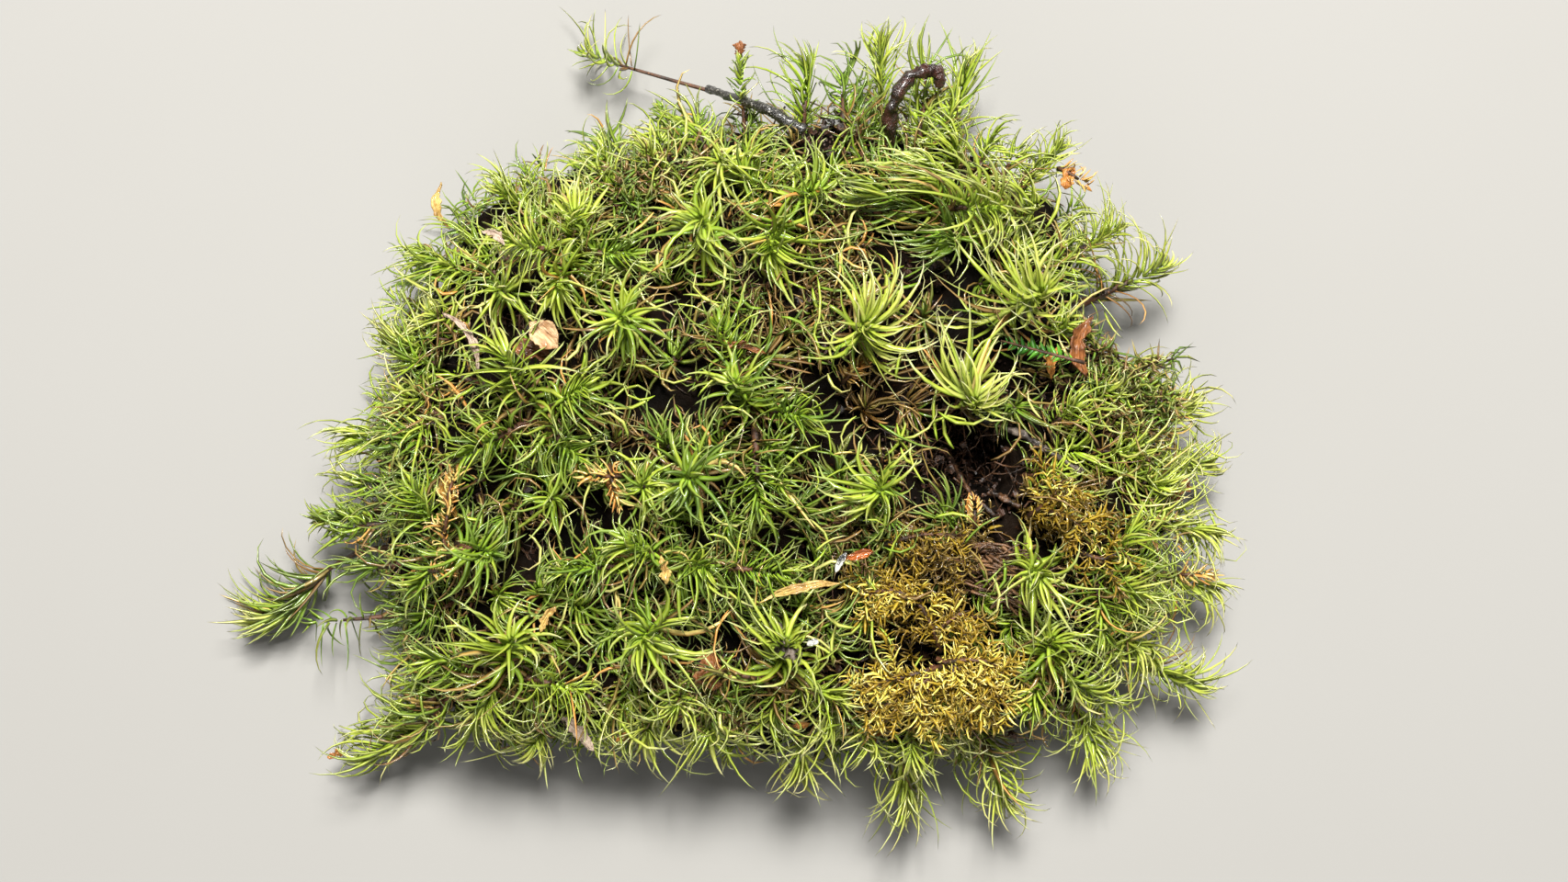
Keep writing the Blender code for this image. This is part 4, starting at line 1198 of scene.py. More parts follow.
@dataclass
class Bunch:
    """The leaves and stems of one piece, gathered before they become a mesh."""

    leaves: Strands
    rods: Strands
    floor: float = 0.45

    def leaf_paths(
        self, base: np.ndarray, start: np.ndarray, pull: np.ndarray, turn: np.ndarray, length: np.ndarray
    ) -> np.ndarray:
        """Curves of leaves, each of which sets out one way and bends over towards another.

        Args:
            base: the foot of each.
            start: the way that each sets out.
            pull: the way that it bends towards.
            turn: how far it has bent at its tip, in radians.
            length: the length of each.

        Returns:
            For each leaf, its place at each level of the blank.
        """
        levels = self.leaves.blank.levels
        across = unit(pull - start * np.sum(pull * start, axis=1, keepdims=True))
        places = [base]
        for before, after in zip(levels, levels[1:]):
            angle = (turn * (0.5 * (before + after)) ** 1.45)[:, None]
            way = start * np.cos(angle) + across * np.sin(angle)
            places.append(places[-1] + way * (length * (after - before))[:, None])
        paths = np.stack(places, axis=1)
        low = self.floor + 0.25 * np.clip(paths[:, :, 2] - self.floor, -1, 0)
        paths[:, :, 2] = np.where(paths[:, :, 2] < self.floor, np.maximum(low, 0.2), paths[:, :, 2])
        return paths

    def grow(self, shoot: Shoot, stalk: Stalk, rng: np.random.Generator, share: float = 1.0) -> None:
        """Grows the leaves of one shoot.

        Args:
            shoot: the shoot's sizes.
            stalk: its stem.
            rng: the source of its small differences.
            share: how many leaves it has, as a share of its habit's.
        """
        sizes = HABIT_SIZES[shoot.habit]
        count = int(sizes.leaves * share)
        age = (np.arange(count) + 0.5) / count
        depth = min(sizes.depth, stalk.length - 1.0)
        base, axis = stalk.at(-1.0 + (depth + 1.0) * age**1.2)
        sweep = np.array((*shoot.sweep, 0.0))
        curl = np.array((*(shoot.curl or shoot.sweep), 0.0))
        axis = unit(axis + sweep * 0.75 * (1 - age[:, None]))
        turn = np.arange(count) * GOLDEN_ANGLE + rng.uniform(0, TURN) + rng.normal(0, 0.20, count)
        turn = turn + 0.26 * np.sin(4 * turn + rng.uniform(0, 6)) + 0.30 * np.sin(2 * turn + rng.uniform(0, 6))
        side, over = square_to(unit(axis[0]))
        radial = np.cos(turn)[:, None] * side + np.sin(turn)[:, None] * over
        radial = unit(radial - axis * np.sum(radial * axis, axis=1, keepdims=True))
        angle = np.radians(20 + (sizes.spread - 20) * age**0.6) * rng.uniform(0.60, 1.30, count)
        start = np.cos(angle)[:, None] * axis + np.sin(angle)[:, None] * radial
        base = base + radial * 0.30
        growth = 0.34 + 0.66 * np.minimum(1.0, age / 0.26)
        leading = 1 + 0.6 * radial @ sweep
        length = shoot.reach * sizes.length * growth * leading * rng.uniform(0.62, 1.16, count)
        loose = 0.55 if shoot.habit in (SWEPT, TRAILING) else 1.0
        swirl = np.cross(axis, radial) * rng.normal(0.5 * loose * rng.choice((-1, 1)), 0.7 * loose, count)[:, None]
        droop = np.array((0.0, 0.0, -1.0)) * (shoot.droop * (0.3 + 1.1 * age))[:, None]
        pull = radial * sizes.outward + droop + curl * sizes.combed + swirl + rng.normal(0, 0.48 * loose, (count, 3))
        bent = np.radians(np.clip(rng.normal(sizes.bent, 46, count), 8, 205)) * (0.55 + 0.50 * age)
        paths = self.leaf_paths(base, start, pull, bent, length)
        width = sizes.width * math.sqrt(shoot.reach / 9.6) * (0.78 + 0.22 * growth) * rng.uniform(0.82, 1.15, count)
        shade = leaf_shades(shoot, age, rng)
        self.leaves.add(paths, axis - radial * 0.6, width, shade, rng.normal(0, 0.6, count))

    def stem(self, stalk: Stalk, width: float, short: float = 3.4) -> None:
        """Adds the stem of a stalk, ending a little short of its bud."""
        distances = np.linspace(stalk.length, min(short, 0.5 * stalk.length), len(self.rods.blank.levels))
        self.rods.add_one(stalk.at(distances)[0], width)


class Workshop:
    """The blanks and the materials that the pieces are made from."""

    def __init__(self) -> None:
        """Models every blank and makes every material."""
        self.leaf = LeafPattern().model()
        self.plain_leaf = LeafPattern((0.14, 0.36, 0.60, 0.83), (0.80, 1.02, 0.96, 0.76, 0.44), sides=3).model()
        self.loose_leaf = LeafPattern((0.12, 0.32, 0.58, 0.82), (0.30, 0.85, 1.00, 0.84, 0.46), sides=3).model()
        self.leaflet = LeafPattern((0.42,), (0.70, 1.00), sides=3).model()
        self.golden_leaflet = LeafPattern((0.30, 0.66), (0.60, 1.00, 0.62), sides=3).model()
        self.broad_leaf = LeafPattern((0.10, 0.25, 0.45, 0.65, 0.85), (0.30, 0.75, 1.00, 0.95, 0.70, 0.32)).model()
        self.rod = RodPattern(6, 8, 0.45).model()
        self.thin_rod = RodPattern(4, 4, 0.5).model()
        self.hair_rod = RodPattern(3, 3, 0.5).model()
        self.fibre = RodPattern(4, 6, 0.4).model()
        self.twig = RodPattern(12, 40, 0.6).model()
        self.crumbs = tuple(CrumbPattern(2 if k == 0 else 1, k + 1).model() for k in range(4))
        self.broom_leaf, self.golden_leaf, self.fern_leaf, self.peat = (
            finish.material() for finish in (BROOM_LEAF, GOLDEN_LEAF, FERN_LEAF, PeatFinish("damp_peat_and_painted_shade"))
        )
        self.wood = {kind: kind.value.material() for kind in Wood}

    def bunch(self, leaf: Blank | None = None, rod: Blank | None = None) -> Bunch:
        """An empty bunch of leaves and stems."""
        return Bunch(Strands(leaf or self.leaf), Strands(rod or self.rod))

    def plain_bunch(self) -> Bunch:
        """An empty bunch of the plainer leaf."""
        return self.bunch(self.plain_leaf, self.thin_rod)

    def finish(
        self, name: str, bunch: Bunch, nodes: Sequence[str], slot: str, leaf: bpy.types.Material | None = None
    ) -> bpy.types.Object:
        """Makes a bunch one piece, which rides on the clump.

        Args:
            name: the piece's name.
            bunch: its leaves and stems.
            nodes: the solids that it stands for.
            slot: the finish that it takes.
            leaf: the leaves' material, if they aren't broom moss.

        Returns:
            The piece.
        """
        piece = joined_piece(name, [(bunch.leaves, leaf or self.broom_leaf), (bunch.rods, self.wood[Wood.FELT])])
        place_piece(piece, nodes, slot)
        return piece


def place_piece(piece: bpy.types.Object, nodes: Sequence[str], slot: str) -> None:
    """Hangs a piece on the clump's root, hides the solids that it stands for, and logs it.

    Args:
        piece: the piece.
        nodes: the solids that it stands for, if any.
        slot: the finish that it takes; not used.
    """
    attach(piece, "root")
    if nodes:
        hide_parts(*nodes)
    log.info("%s: %d triangles", piece.name, len(piece.data.polygons))


def green_slot(tint: float) -> str:
    """The record's green that is nearest to a shade of leaf.

    Args:
        tint: the shade, from 0 to 1.

    Returns:
        The name of the green.
    """
    if tint >= 0.70:
        return "bright_moss"
    return "green_moss" if tint >= 0.45 else "deep_moss"


@dataclass
class SingleShoots:
    """The shoots that stand by themselves: tall ones in the middle and leaning ones round the rim."""

    shop: Workshop
    stem: float = 1.4
    thin_stem: float = 0.8
    dead_stem: float = 0.7
    dead_leafiness: float = 0.8

    def build(self) -> None:
        """Builds each on its own solid."""
        for kind, row in (("tall_shoot", TALL_SHOOTS), ("rim_shoot", RIM_SHOOTS)):
            for number, shoot in enumerate(row, 1):
                self.build_one(f"{kind}_{number:02d}", shoot, stalk_of(shoot))
        for node, route, shoot in (
            ("lying_shoot", LYING_STEM, LYING_SHOOT),
            ("fallen_shoot", FALLEN_STEM, FALLEN_SHOOT),
        ):
            points = [from_above(*point) for point in route] + [from_above(shoot.x, shoot.y, shoot.z)]
            self.build_one(node, shoot, Stalk(curve_through(points, 40)))
        self.build_dead()

    def build_dead(self) -> None:
        """Builds the dead shoots as one piece."""
        rng = np.random.default_rng(55)
        bunch = self.shop.plain_bunch()
        for shoot in DEAD_SHOOTS:
            stalk = stalk_of(shoot)
            bunch.grow(shoot, stalk, rng, self.dead_leafiness)
            bunch.stem(stalk, self.dead_stem, 1.0)
        self.shop.finish("dead_amber_shoots", bunch, [], "golden_moss")

    def build_one(self, node: str, shoot: Shoot, stalk: Stalk) -> None:
        """Builds one shoot over its solid.

        Args:
            node: the solid's name.
            shoot: the shoot's sizes.
            stalk: its stem.
        """
        rng = np.random.default_rng(sum(ord(letter) * (k + 7) for k, letter in enumerate(node)))
        bunch = self.shop.bunch()
        # Only the lighter tones are added here: partly the moss's own colour, partly painted light on the bottom and
        # right shoots
        shade = min(0.87, shoot.tint + max(0.0, tone_and_painted_light(shoot.x, shoot.y)))
        bunch.grow(replace(shoot, tint=shade), stalk, rng)
        bunch.stem(stalk, self.thin_stem if shoot.habit in THIN_STEMMED else self.stem)
        self.shop.finish(f"{node}_leafy", bunch, [node], green_slot(shoot.tint))


@dataclass
class Tufts:
    """Tufts of three or four shoots from one foot."""

    shop: Workshop
    foot_height: float = 2.8
    stem_width: float = 1.4

    def build(self) -> None:
        """Builds each tuft over its solid."""
        for number, tuft in enumerate(TUFTS, 1):
            rng = np.random.default_rng(400 + number)
            bunch = self.shop.bunch()
            centres = [from_above(shoot.x, shoot.y, shoot.z) for shoot in tuft]
            foot = self.foot(centres)
            for shoot, centre in zip(tuft, centres):
                start = foot + up(self.foot_height)
                stalk = bowed_stalk(start, centre, 0.35, 1.5)
                bunch.grow(shoot, stalk, rng)
                bunch.stem(Stalk(np.vstack([np.array(foot), stalk.places])), self.stem_width)
            tint = sum(shoot.tint for shoot in tuft) / len(tuft)
            self.shop.finish(f"moss_tuft_{number:02d}_leafy", bunch, [f"moss_tuft_{number:02d}"], green_slot(tint))

    def foot(self, centres: Sequence[Vector]) -> Vector:
        """Where a tuft stands on the bed.

        Args:
            centres: the buds of the tuft.

        Returns:
            The place of its foot, a little inside the rim.
        """
        middle = (sum(centres, Vector()) / len(centres)).to_2d()
        furthest = 0.92 * rim_radius(math.atan2(middle.y, middle.x)) - 3.4
        middle *= min(1.0, furthest / middle.length)
        return Vector((middle.x, middle.y, bed_height(middle.x, middle.y) - 0.5))


@dataclass
class PeatBed:
    """The damp peat that everything grows from: lumpy on top, ragged at its sides and flat underneath."""

    shop: Workshop
    undercut: float = 0.90
    lip: float = 0.97  # of the rim's radius, where the top ends
    top_share: float = 0.62  # of the way from the top of the ball to its bottom, what becomes the bed's top
    side_share: float = 0.86  # and where its side ends
    relief: float = 0.55

    def build(self) -> None:
        """Shapes a ball into the bed."""
        leave_edit()
        bpy.ops.mesh.primitive_uv_sphere_add(segments=144, ring_count=84, radius=1.0, location=(0, 0, 0))
        bed = bpy.context.object
        bed.name = "peat_bed_surface"
        mesh = bed.data
        for vertex in mesh.vertices:
            vertex.co = self.place(vertex.co) * MM
        mesh.materials.append(self.shop.peat)
        bpy.ops.object.mode_set(mode="EDIT")
        bpy.ops.mesh.select_all(action="SELECT")
        bpy.ops.mesh.quads_convert_to_tris()
        bpy.ops.mesh.normals_make_consistent(inside=False)
        leave_edit(bed)
        bpy.ops.object.shade_smooth()
        place_piece(bed, ["peat_bed"], "peat")

    def place(self, at: Vector) -> Vector:
        """Where a point of the ball goes, in millimetres.

        Args:
            at: the point, on a ball of radius one.

        Returns:
            Its place on the bed, in millimetres.
        """
        share = math.acos(max(-1.0, min(1.0, at.z))) / math.pi
        angle = math.atan2(at.y, at.x)
        rim = rim_radius(angle)
        out = Vector((*ray(angle), 0))
        if share <= self.top_share:
            return self.on_top(out * (rim * self.lip * share / self.top_share))
        if share <= self.side_share:
            down = (share - self.top_share) / (self.side_share - self.top_share)
            edge = self.on_top(out * (rim * self.lip))
            swell = self.lip + 0.03 * math.sin(math.pi * min(1.0, 1.6 * down)) - (self.lip - self.undercut) * down**2
            ragged = 2.6 * noise.fractal(out * 9 + up(2.4 * down), 0.8, 2.1, 4)
            spot = out * (rim * swell + ragged * math.sin(math.pi * (0.15 + 0.85 * down)) ** 0.5)
            spot.z = edge.z * (1 - down)
            return spot
        return out * (rim * self.undercut * (1 - share) / (1 - self.side_share))

    def on_top(self, spot: Vector) -> Vector:
        """The place on the bed's top over a spot, with its crumbs and its pits.

        Args:
            spot: the spot, of any height.

        Returns:
            The place over or under it on the top.
        """
        crumb = noise.fractal(Vector((spot.x / 2.4, spot.y / 2.4, 7.7)), 0.7, 2.2, 4)
        height = bed_height(spot.x, spot.y) + self.relief * crumb - 0.3
        for x, y, middle, wide, deep, tall in PITS:
            away = math.hypot((spot.x - x) / wide, (spot.y - y) / deep)
            if away < 1:
                height = min(height, middle - tall * math.sqrt(1 - away**2) + 0.35 * crumb)
        return Vector((spot.x, spot.y, max(height, 3.0)))


# Hollows where nothing green grows: x, y, and half the width and the height, all as seen
HOLLOWS = (
    (19.4, 22.6, 6.6, 5.6), (29.4, 13.4, 9.0, 4.6), (20.6, -5.8, 5.8, 3.6), (29.4, -7.0, 3.6, 2.6),
    (37.6, -22.4, 4.2, 3.0), (-39.4, -24.0, 3.2, 2.4), (10.2, 1.0, 4.2, 3.0), (-9.6, -24.8, 2.6, 2.2),
    (19.0, 8.6, 8.0, 4.4), (7.4, 7.0, 4.6, 4.8), (27.4, 23.4, 2.4, 3.4), (3.4, 20.6, 3.0, 3.0),
    (41.0, 9.4, 4.0, 4.4), (8.0, 40.6, 4.4, 4.0), (8.0, -23.4, 3.4, 2.8), (17.6, -25.0, 3.8, 2.0),
    (-13.0, 5.8, 5.6, 3.0), (-30.5, 4.0, 4.0, 1.6), (-20.4, 22.8, 2.3, 4.2), (-7.0, 20.8, 3.6, 1.8),
    (-6.2, 9.8, 2.8, 1.8), (-22.0, -11.0, 2.6, 2.4), (-30.2, -12.4, 4.8, 3.0), (-6.6, -28.0, 4.6, 4.8),
    (-1.4, -31.6, 2.8, 2.2), (-10.8, -32.0, 2.6, 2.0), (-11.0, 39.6, 5.2, 2.2), (-1.6, 42.4, 6.4, 3.4),
    (49.0, 15.0, 7.6, 4.4), (45.0, 34.0, 4.0, 4.0), (34.6, 1.4, 4.0, 2.4), (29.6, -17.6, 4.4, 3.0),
    (30.6, -13.6, 4.6, 2.4),
)

# Patches of low brownish moss: x, y, half the width and the height, and shade
DULL_PATCHES = (
    (4.4, 17.4, 7.4, 8.8, 0.14), (9.4, 26.0, 3.4, 3.4, 0.16), (-7.0, -30.0, 4.0, 3.4, 0.10),
    (12.0, -13.0, 4.4, 4.0, 0.12), (-14.6, 30.0, 3.0, 3.4, 0.20), (47.0, 6.0, 4.0, 5.0, 0.16),
    (40.6, 9.0, 4.0, 5.0, 0.14),
)

# Broad changes of shade over the cushion, partly the moss's own colour and partly painted light, paler at the bottom
# and the right where the leaves droop away from the key light: x, y, half the width and the height, and how much is
# added
TONES_AND_PAINTED_LIGHT = (
    (-14.0, -2.0, 20.0, 11.0, -0.20), (-26.0, -12.0, 12.0, 8.0, -0.16), (4.0, 14.0, 10.0, 14.0, -0.26),
    (24.0, 12.0, 20.0, 18.0, -0.24), (4.0, -24.0, 12.0, 10.0, -0.14), (-30.0, 20.0, 14.0, 12.0, 0.06),
    (48.0, -14.0, 15.0, 28.0, 0.20), (4.0, -41.0, 54.0, 15.0, 0.38), (-54.0, -20.0, 15.0, 16.0, -0.28),
    (6.0, 20.0, 22.0, 12.0, -0.16), (37.0, 28.0, 9.0, 8.0, 0.26), (-44.0, 8.0, 9.0, 12.0, 0.14),
    (48.0, 8.0, 13.0, 22.0, 0.38), (10.0, 1.0, 9.0, 8.0, -0.26), (-38.0, -18.0, 9.0, 12.0, -0.16),
)


def tone_and_painted_light(x: float, y: float) -> float:
    """How much lighter the moss is at a place than elsewhere, partly its own colour and partly painted light.

    Args:
        x: its place to the right, in millimetres.
        y: its place up the view, in millimetres.

    Returns:
        What is added to the shade of a leaf there.
    """
    total = 0.0
    for cx, cy, half_width, half_height, change in TONES_AND_PAINTED_LIGHT:
        away = math.hypot((x - cx) / half_width, (y - cy) / half_height)
        total += change * max(0.0, 1 - away**2)
    return total


def inside(x: float, y: float, spot: Sequence[float], margin: float = 0.0) -> bool:
    """Whether x, y is in an oval given as x, y, half width and half height, and perhaps more."""
    return math.hypot((x - spot[0]) / (spot[2] + margin), (y - spot[1]) / (spot[3] + margin)) < 1


def in_hollow(x: float, y: float, margin: float = 0.0) -> bool:
    """Whether x, y is in a hollow where nothing green grows."""
    return any(inside(x, y, spot, margin) for spot in HOLLOWS)


def in_pit(x: float, y: float, margin: float = 0.0) -> bool:
    """Whether x, y is in a pit of the bed."""
    return any(inside(x, y, (px, py, wide, deep), margin) for px, py, _, wide, deep, _ in PITS)


# Small shoots set one by one where the photograph shows them, between the larger ones
FILLING_SHOOTS = shoots(
    (10.4, 47.0, 11, (0, 9), 6.4, 0.4, (0.2, 0.4), 0, 0.45),
    (12.2, 43.0, 13, (0, 5), 6.0, 0.4, (-0.2, 0.3), 0, 0.35),
    (20.4, 43.6, 13, (0, 6), 6.6, 0.4, (0.3, 0.3), 0, 0.7),
    (21.4, 49.0, 10, (1, 11), 6.4, 0.4, (0.1, 0.5), 0, 0.62),
    (24.4, 42.8, 14, (1, 5), 6.8, 0.4, (-0.3, 0.4), 0, 0.76),
    (29.6, 38.6, 14, (2, 4), 5.6, 0.4, (0.4, 0.0), 0, 0.74),
    (33.0, 37.6, 11, (3, 5), 5.0, 0.4, (0.3, 0.2), 0, 0.72),
    (-9.0, 41.6, 11, (-2, 5), 6.2, 0.4, (-0.4, 0.3), 0, 0.64),
    (-13.6, 39.6, 12, (-2, 4), 5.0, 0.4, (-0.4, 0.2), 0, 0.76),
    (-52.4, -5.6, 11, (-6, 0), 5.6, 0.4, (-0.5, 0.1), 0, 0.66, SWEPT),
    (-54.6, -11.4, 10, (-7, -1), 5.6, 0.4, (-0.4, 0.2), 0, 0.56),
    (-51.6, -16.6, 9, (-6, -1), 5.6, 0.4, (-0.5, 0.0), 0, 0.46, SWEPT),
    (-46.6, -22.4, 11, (-4, -2), 5.4, 0.5, (-0.3, -0.4), 0, 0.48),
    (-46.0, -28.2, 10, (-4, -3), 5.4, 0.5, (-0.3, -0.1), 0, 0.52, SWEPT),
    (-45.6, -32.6, 11, (-4, -4), 6.6, 0.4, (-0.4, 0.1), 0, 0.74),
    (-46.8, -36.0, 8, (-6, -4), 5.6, 0.4, (-0.5, 0.1), 0, 0.66, SWEPT),
    (-43.0, -36.4, 10, (-4, -5), 6.6, 0.4, (-0.4, 0.2), 0, 0.7),
    (-44.6, -38.8, 7, (-4, -6), 5.8, 0.4, (-0.5, 0.1), 0, 0.78, SWEPT),
    (-38.0, -37.4, 10, (-3, -5), 6.2, 0.4, (-0.3, 0.0), 0, 0.7),
    (-33.6, -37.8, 9, (-2, -5), 6.0, 0.4, (0.2, 0.0), 0, 0.74, SWEPT),
    (-23.2, -37.2, 12, (-1, -5), 6.4, 0.4, (0.2, -0.1), 0, 0.76),
    (25.0, 37.6, 18, (0, 3), 6.0, 0.4, (-0.4, 0.1), 0, 0.76, SWEPT),
    (40.4, 4.2, 22, (2, 2), 5.4, 0.4, (0.6, 0.4), 0, 0.7),
    (44.8, 6.6, 19, (4, 3), 5.8, 0.4, (0.6, 0.4), 0, 0.8),
    (48.4, -1.4, 17, (5, 0), 6.4, 0.4, (0.4, 0.1), 0, 0.82),
    (13.8, -39.2, 19, (0, -4), 6.4, 0.3, (-0.1, -0.2), 0, 0.85),
    (19.4, -40.6, 18, (0, -5), 6.4, 0.3, (0.1, -0.2), 0, 0.84),
    (-5.4, 36.2, 21, (0, 2), 6.4, 0.3, (0.0, -0.4), 0, 0.84),
    (35.2, 30.4, 21, (3, 2), 6.4, 0.3, (-0.6, 0.1), 0, 0.82, SWEPT),
    (-14.6, 37.2, 18, (-2, 3), 6.4, 0.3, (-0.3, 0.1), 0, 0.84),
    (-34.6, 19.6, 25, (-1, 0), 6.4, 0.4, (0.2, -0.2), 0, 0.72),
    (-11.0, -34.4, 22, (0, -2), 6.4, 0.4, (0.0, -0.3), 0, 0.82),
    (-15.6, -6.0, 30, (0, 0), 6.2, 0.4, (0.3, -0.1), 0, 0.66),
    (-27.6, -7.6, 26, (0, 0), 5.8, 0.4, (-0.2, -0.2), 0, 0.6),
    (50.0, 6.6, 15, (6, 1), 6.0, 0.3, (0.5, 0.2), 0, 0.84),
)

# Mounds of crumbs that show between the shoots: x, y, radius, height and how many crumbs
MOUNDS = (
    (8.6, 12.8, 2.8, 4.4, 150), (9.0, 40.4, 3.6, 3.2, 60), (-7.0, -30.0, 2.6, 3.8, 110),
    (21.6, 22.0, 3.0, 3.6, 90), (7.0, 17.6, 3.0, 3.4, 80), (40.6, 8.6, 3.0, 2.8, 50),
)


@dataclass
class LowMoss:
    """Low brownish moss close to the soil, seen where the shoots stand apart."""

    shop: Workshop
    shoots: int = 430
    leafiness: float = 0.42
    stem: float = 0.6
    reach: float = 0.95  # how far out it grows, as a share of the rim's radius

    def build(self) -> None:
        """Builds it as two pieces, left and right."""
        rng = np.random.default_rng(77)
        halves = {name: self.shop.bunch(self.shop.leaflet, self.shop.hair_rod) for name in ("left", "right")}
        for k in range(self.shoots):
            spot = DULL_PATCHES[k % len(DULL_PATCHES)] if k % 5 < 2 else None
            angle, away = rng.uniform(0, TURN), math.sqrt(rng.uniform())
            if spot:
                x, y = spot[0] + spot[2] * away * math.cos(angle), spot[1] + spot[3] * away * math.sin(angle)
            else:
                x, y = ray(angle, self.reach * rim_radius(angle) * away)
            if in_pit(x, y) or (not spot and in_hollow(x, y)):
                continue
            foot = Vector((x, y, bed_height(x, y) - 0.6))
            tip = foot + Vector((rng.normal(0, 1.2), rng.normal(0, 1.2), rng.uniform(3.0, 6.5)))
            stalk = bowed_stalk(foot, tip, 0.5, 0.6)
            tint = float(np.clip(rng.normal(0.13, 0.07), 0.03, 0.23)) if rng.uniform() < 0.7 else 0.34
            way = rng.uniform(0, TURN)
            shoot = Shoot(x, y, tip.z, reach=rng.uniform(3.0, 4.6), sweep=ray(way, 0.5), tint=tint, habit=OLD)
            half = halves["left" if x < 0 else "right"]
            half.grow(shoot, stalk, rng, self.leafiness)
            half.stem(stalk, self.stem, 0.4)
        for name, half in halves.items():
            self.shop.finish(f"low_brown_moss_{name}", half, [], "deep_moss")


@dataclass
class LowerShoots:
    """The shorter shoots that fill the cushion between the taller ones, and those that hang down its side."""

    shop: Workshop
    pitch: float = 5.8
    clear: float = 3.7  # from the buds that have solids of their own
    leafiness: float = 0.60  # of what a shoot of the same habit has on its own solid
    side_leafiness: float = 0.42
    stem: float = 1.1
    edge_shoots: int = 66
    side_shoots: int = 150
    strays: int = 480
    edge_hairs: int = 150
    seed: int = 11

    def build(self) -> None:
        """Builds the inner shoots by quarter of the cushion, and then the hanging ones."""
        rng = np.random.default_rng(self.seed)
        names = [f"{row}_{side}" for row in ("top", "bottom") for side in ("left", "right")]
        quarters = {name: self.shop.plain_bunch() for name in names}
        for shoot in self.places(rng) + self.edge(rng) + list(FILLING_SHOOTS):
            quarter = ("top" if shoot.y > 0 else "bottom") + ("_right" if shoot.x > 2 else "_left")
            stalk = stalk_of(shoot)
            quarters[quarter].grow(shoot, stalk, rng, self.leafiness)
            quarters[quarter].stem(stalk, self.stem, 3.0)
        for quarter, bunch in quarters.items():
            self.shop.finish(f"lower_shoots_{quarter}", bunch, [], "green_moss")
        self.build_side(rng)
        self.build_strays(rng)

    def places(self, rng: np.random.Generator) -> list[Shoot]:
        """Shoots on a loose grid, away from the taller ones, the pits and the golden moss.

        Args:
            rng: the source of its small differences.

        Returns:
            The shoots.
        """
        tall = [(shoot.x, shoot.y) for shoot in (*TALL_SHOOTS, *RIM_SHOOTS, *(bud for tuft in TUFTS for bud in tuft))]
        found = []
        for row in range(-11, 12):
            for column in range(-11, 12):
                x = (column + 0.5 * (row % 2)) * self.pitch + rng.uniform(-1.4, 1.4)
                y = row * self.pitch * 0.87 + rng.uniform(-1.4, 1.4)
                share = math.hypot(x, y) / rim_radius(math.atan2(y, x))
                size, roll = rng.uniform(size=2)
                crowded = min(math.dist((x, y), at) for at in tall) < self.clear
                if share > 1.0 or crowded or self.taken(x, y):
                    continue
                way = 6.3 * noise.noise(Vector((x / 26, y / 26, 5.0)))
                sweep = (0.5 * math.cos(way) + 0.2 * x / 50, 0.5 * math.sin(way) + 0.2 * y / 45)
                z = canopy(share) - 7.5 * rng.uniform() ** 0.8
                tint = 0.60 + 0.30 * noise.noise(Vector((x / 16, y / 16, 1.0))) + rng.normal(0, 0.04)
                # The last term is painted shade: shoots that stand lower in the cushion are made darker
                tint += 0.16 * share**3 - 0.10 * size + tone_and_painted_light(x, y) - 0.022 * (canopy(share) - z)
                dull = next((spot for spot in DULL_PATCHES if inside(x, y, spot)), None)
                if dull:
                    z, tint, size = z - 3.0, dull[4] + rng.normal(0, 0.04), 0.0
                lean = (3.5 * share**2 * x / 50 + rng.normal(0, 1.2), 3.5 * share**2 * y / 45 + rng.normal(0, 1.2))
                habit = SWEPT if roll < 0.35 else BROOM if roll < 0.48 else STAR
                reach = 5.0 + 2.3 * size
                found.append(Shoot(x, y, z, lean, reach, 0.45, sweep, tint=float(np.clip(tint, 0.1, 0.8)), habit=habit))
        return found

    def edge(self, rng: np.random.Generator) -> list[Shoot]:
        """Shoots that lean out over the rim of the bed.

        Args:
            rng: the source of its small differences.

        Returns:
            The shoots.
        """
        found = []
        for k in range(self.edge_shoots):
            angle = TURN * (k + rng.uniform(-0.4, 0.4)) / self.edge_shoots
            out = rim_radius(angle) * rng.uniform(0.93, 1.04) * (0.94 if abs(math.sin(angle)) > 0.6 else 1.0)
            x, y = ray(angle, out)
            if in_hollow(x, y) or (y < -30 and x > -30 and k % 4):
                continue
            lean = (rng.uniform(1.5, 4.0) * math.cos(angle), rng.uniform(1.5, 4.0) * math.sin(angle))
            sweep = (0.3 * math.cos(angle) + rng.normal(0, 0.3), 0.3 * math.sin(angle) + rng.normal(0, 0.3))
            # The tone adds partly painted light
            tint = float(np.clip(rng.normal(0.60, 0.12) + tone_and_painted_light(x, y), 0.25, 0.86))
            habit = SWEPT if rng.uniform() < 0.5 else STAR
            found.append(Shoot(x, y, rng.uniform(13.5, 18.0), lean, 6.6, 0.5, sweep, tint=tint, habit=habit))
        return found

    def build_strays(self, rng: np.random.Generator) -> None:
        """Lays single leaves over the cushion, and thin ones that hang at its right edge.

        Args:
            rng: the source of its small differences.
        """
        bunch = self.shop.bunch(self.shop.loose_leaf)
        count = self.strays
        share = np.sqrt(rng.uniform(0, 1, count))
        self.lay(bunch, rng, rng.uniform(0, TURN, count), share, rng.uniform(0, TURN, count))
        count = self.edge_hairs
        share = rng.uniform(0.94, 1.14, count)
        self.lay(bunch, rng, rng.normal(-0.28, 0.36, count), share, rng.normal(-1.5, 0.7, count), True)
        self.shop.finish("loose_leaves", bunch, [], "green_moss")

